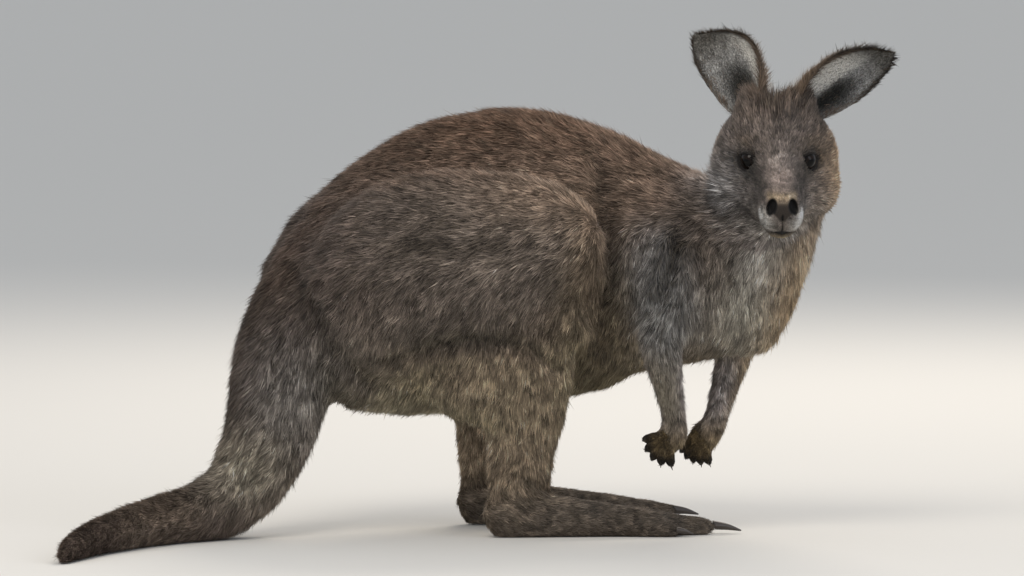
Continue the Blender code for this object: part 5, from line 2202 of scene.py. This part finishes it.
# ---- Fingers and claws ----
def claw_axis(name: str, points: np.ndarray) -> tuple[np.ndarray, np.ndarray]:
    """Find a finger claw's root and the way it points.

    Args:
        name: The claw's node.
        points: Its points, in the model.

    Returns:
        The root's place, and the direction from the paw to the tip.
    """
    middle = points.mean(axis=0)
    along = np.linalg.svd(points - middle)[2][0]
    palm = points_of(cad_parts[f"paw_{name.rsplit('_', 1)[1]}"].data).mean(axis=0)
    reach = (points - middle) @ along
    ends = (middle + along * reach.min(), middle + along * reach.max())
    if np.linalg.norm(ends[1] - palm) < np.linalg.norm(ends[0] - palm):
        return ends[1], -along
    return ends[0], along


@dataclass
class Finger:
    """One finger of a forepaw, out to the root of its claw."""

    claw: str                       # the node of its claw
    reach: float = 24.0             # back into the palm
    root_radius: float = 7.6
    tip_radius: float = 4.8
    past: float = 7.5               # how far its tip passes the claw's root
    rows: int = 14
    sides: int = 14
    # Places along the finger are shares of its length.
    knuckle: float = 0.5            # how far it stands out
    knuckle_at: float = 0.62
    knuckle_width: float = 0.08
    rounded: float = 0.8            # where the round end starts
    blunt: float = 0.01             # square of the least share of the radius at the very end
    shorter: float = 0.8            # tufts than the palm's
    finer: float = 0.85
    dark: str = "#262019"           # the skin at the tips
    dark_from: Pair = (0.45, 0.95)
    under_facing: Pair = (0.3, -0.5)    # how far down it faces, where it is darker
    under_dark: float = 0.6

    def build(self) -> Surface:
        """Build the finger as a tapering tube with a round end.

        Returns:
            The finger's part of the skin.
        """
        root, along = claw_axis(self.claw, points_of(welded(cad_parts[self.claw].data)))
        across = unit(np.cross(along, [0.0, 0.0, 1.0]))
        over = np.cross(across, along)
        share = np.linspace(0, 1, self.rows)
        place = (self.reach + self.past) * share - self.reach
        radius = self.root_radius + (self.tip_radius - self.root_radius) * share
        radius = radius + self.knuckle * bump(share - self.knuckle_at, self.knuckle_width)
        end = ((share - self.rounded) / (1 - self.rounded)).clip(0)
        radius = radius * np.sqrt(np.clip(1 - end**2, self.blunt, 1))
        turn = np.arange(self.sides) * 2 * math.pi / self.sides
        ring = np.cos(turn)[:, None] * across + np.sin(turn)[:, None] * over
        points = root + (place[:, None, None] * along + radius[:, None, None] * ring) * MM
        last = (self.rows - 1) * self.sides
        cap = np.array([(last, last + k, last + k + 1) for k in range(1, self.sides - 1)])
        dark = np.repeat(smooth(*self.dark_from, share), self.sides)
        under = np.tile(smooth(*self.under_facing, ring[:, 2]), self.rows)
        dark = np.maximum(dark, self.under_dark * under)
        fur = FUR["paw"]
        ones = np.ones(self.rows * self.sides)
        return Surface(
            points=points.reshape(-1, 3),
            faces=np.concatenate([tube_faces(self.rows, self.sides), cap]),
            length=fur.length * self.shorter * ones,
            width=fur.width * self.finer * ones,
            lift=fur.lift * ones,
            way=np.tile(along, (len(ones), 1)),
            colour=mixed(linear(TONES["paw"]), linear(self.dark), dark),
            cover=COVER * ones,
            bare=0 * ones,
            part=np.full(len(ones), FLESH.index(f"paw_{self.claw.rsplit('_', 1)[1]}")),
        )


@dataclass
class Claws:
    """The claws of fingers and toes, rounded and finished as horn."""

    thinner: float = 0.8            # of its solid's thickness, for a finger's claw
    deeper: float = 2.5             # that it sits in the finger
    rounding: int = 2               # times that its faces are divided

    def slim(self, name: str, mesh: bpy.types.Mesh) -> None:
        """Draw a finger's claw in round its own length and settle it deeper in the finger.

        Args:
            name: The claw's node.
            mesh: Its mesh.
        """
        points = points_of(mesh)
        root, along = claw_axis(name, points)
        line = root + np.outer((points - root) @ along, along)
        set_points(mesh, line + (points - line) * self.thinner - along * self.deeper * MM)

    def build(self) -> list[bpy.types.Object]:
        """Build the claws.

        Returns:
            One object for each claw.
        """
        horn = Horn().material()
        pieces = []
        for name in [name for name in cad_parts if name.startswith("claw_")]:
            piece = shown(name.replace("claw_", "horn_"), welded(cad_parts[name].data))
            if "finger" in name:
                self.slim(name, piece.data)
            piece.data.materials.append(horn)
            divide = piece.modifiers.new("round", "SUBSURF")
            divide.levels = divide.render_levels = self.rounding
            settled(piece).data.shade_smooth()
            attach(piece, BODY)
            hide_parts(name)
            pieces.append(piece)
        return pieces


# ---- The room ----
@dataclass(frozen=True)
class Lamp:
    """A round soft lamp that shines on the model's middle."""

    name: str
    place: Triple                   # metres
    size: float                     # metres across
    power: float                    # watts
    colour: str
    aim: Triple = (0.0, 0.0, 0.3)   # metres

    def hang(self) -> None:
        """Put the lamp in its place."""
        lamp = bpy.data.lights.new(self.name, "AREA")
        lamp.shape = "DISK"
        lamp.size = self.size
        lamp.energy = self.power
        lamp.color = linear(self.colour)
        holder = shown(self.name, lamp)
        holder.location = self.place
        way = Vector(self.aim) - Vector(self.place)
        holder.rotation_euler = way.to_track_quat("-Z", "Y").to_euler()


@dataclass
class Studio:
    """A plain pale floor, soft light and the camera."""

    target: Triple = (0.0, 0.0, 292.8)  # in the animal's frame
    distance: float = 10.0          # metres
    elevation: float = 3.5          # degrees above level
    view_width: float = 1228.8      # that the camera takes in at the target, millimetres
    sensor: float = 36.0
    far: float = 100.0              # metres that the camera sees out to
    floor_reach: float = 30.0       # metres, half its width
    floor_colour: str = "#d9d7d2"
    sky_colour: str = "#e4e8ee"
    sky_strength: float = 0.75
    lamps: tuple[Lamp, ...] = (
        Lamp("key", (-1.2, -2.6, 3.4), 2.2, 80.0, "#fff6ea"),
        Lamp("fill", (2.8, -2.2, 1.8), 2.0, 20.0, "#eef3ff"),
        Lamp("rim", (0.8, 3.0, 2.8), 2.0, 70.0, "#fff4e6"),
    )

    def build(self) -> None:
        """Build the room."""
        bpy.context.scene.view_settings.view_transform = "Standard"
        self.camera()
        self.floor()
        self.sky()
        for lamp in self.lamps:
            lamp.hang()

    def camera(self) -> None:
        """Place the camera, level with the animal's flank and a little above it."""
        camera = bpy.data.cameras.new("camera")
        camera.sensor_width = self.sensor
        camera.lens = self.sensor * self.distance / (self.view_width * MM)
        camera.clip_end = self.far
        holder = shown("camera", camera)
        tilt = math.radians(self.elevation)
        aim = Vector(self.target) * MM + Vector(STAND)
        holder.location = aim + Vector((0, -math.cos(tilt), math.sin(tilt))) * self.distance
        holder.rotation_euler = (math.radians(90 - self.elevation), 0, 0)
        bpy.context.scene.camera = holder

    def floor(self) -> None:
        """Lay the floor."""
        shape = bmesh.new()
        bmesh.ops.create_grid(shape, x_segments=1, y_segments=1, size=self.floor_reach)
        piece = shown("floor", mesh_of("floor", shape))
        material, _, shader = shader_of("matt floor paint")
        fix(shader, Roughness=0.9, Specular_IOR_Level=0.2)
        shader.inputs["Base Color"].default_value = (*linear(self.floor_colour), 1)
        piece.data.materials.append(material)

    def sky(self) -> None:
        """Give the model a pale fill from all round."""
        world = bpy.data.worlds.new("studio")
        world.use_nodes = True
        bpy.context.scene.world = world
        back = world.node_tree.nodes["Background"]
        back.inputs["Color"].default_value = (*linear(self.sky_colour), 1)
        back.inputs["Strength"].default_value = self.sky_strength


def main() -> None:
    """Build the model and its room."""
    logging.basicConfig(level=logging.INFO, format="%(relativeCreated)7d ms  %(message)s")
    Studio().build()
    skin = Skin()
    skin.build()
    log.info("skin shaped: %d vertices", len(skin.piece.data.vertices))
    surface = skin.surface()
    for ear in EARS.values():
        surface = surface.joined(ear.build())
    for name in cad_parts:
        if name.startswith("claw_finger"):
            surface = surface.joined(Finger(name).build())
    finished = skin.finished(surface)
    log.info("skin finished: %d triangles", len(finished.data.polygons))
    for eye in EYES.values():
        log.info("eye: %s", eye.build().name)
    for piece in Claws().build():
        log.info("claw: %s", piece.name)
    for piece in Coat().build(finished, surface):
        log.info("coat: %s, %d triangles", piece.name, len(piece.data.polygons))


if __name__ == "__main__":
    main()
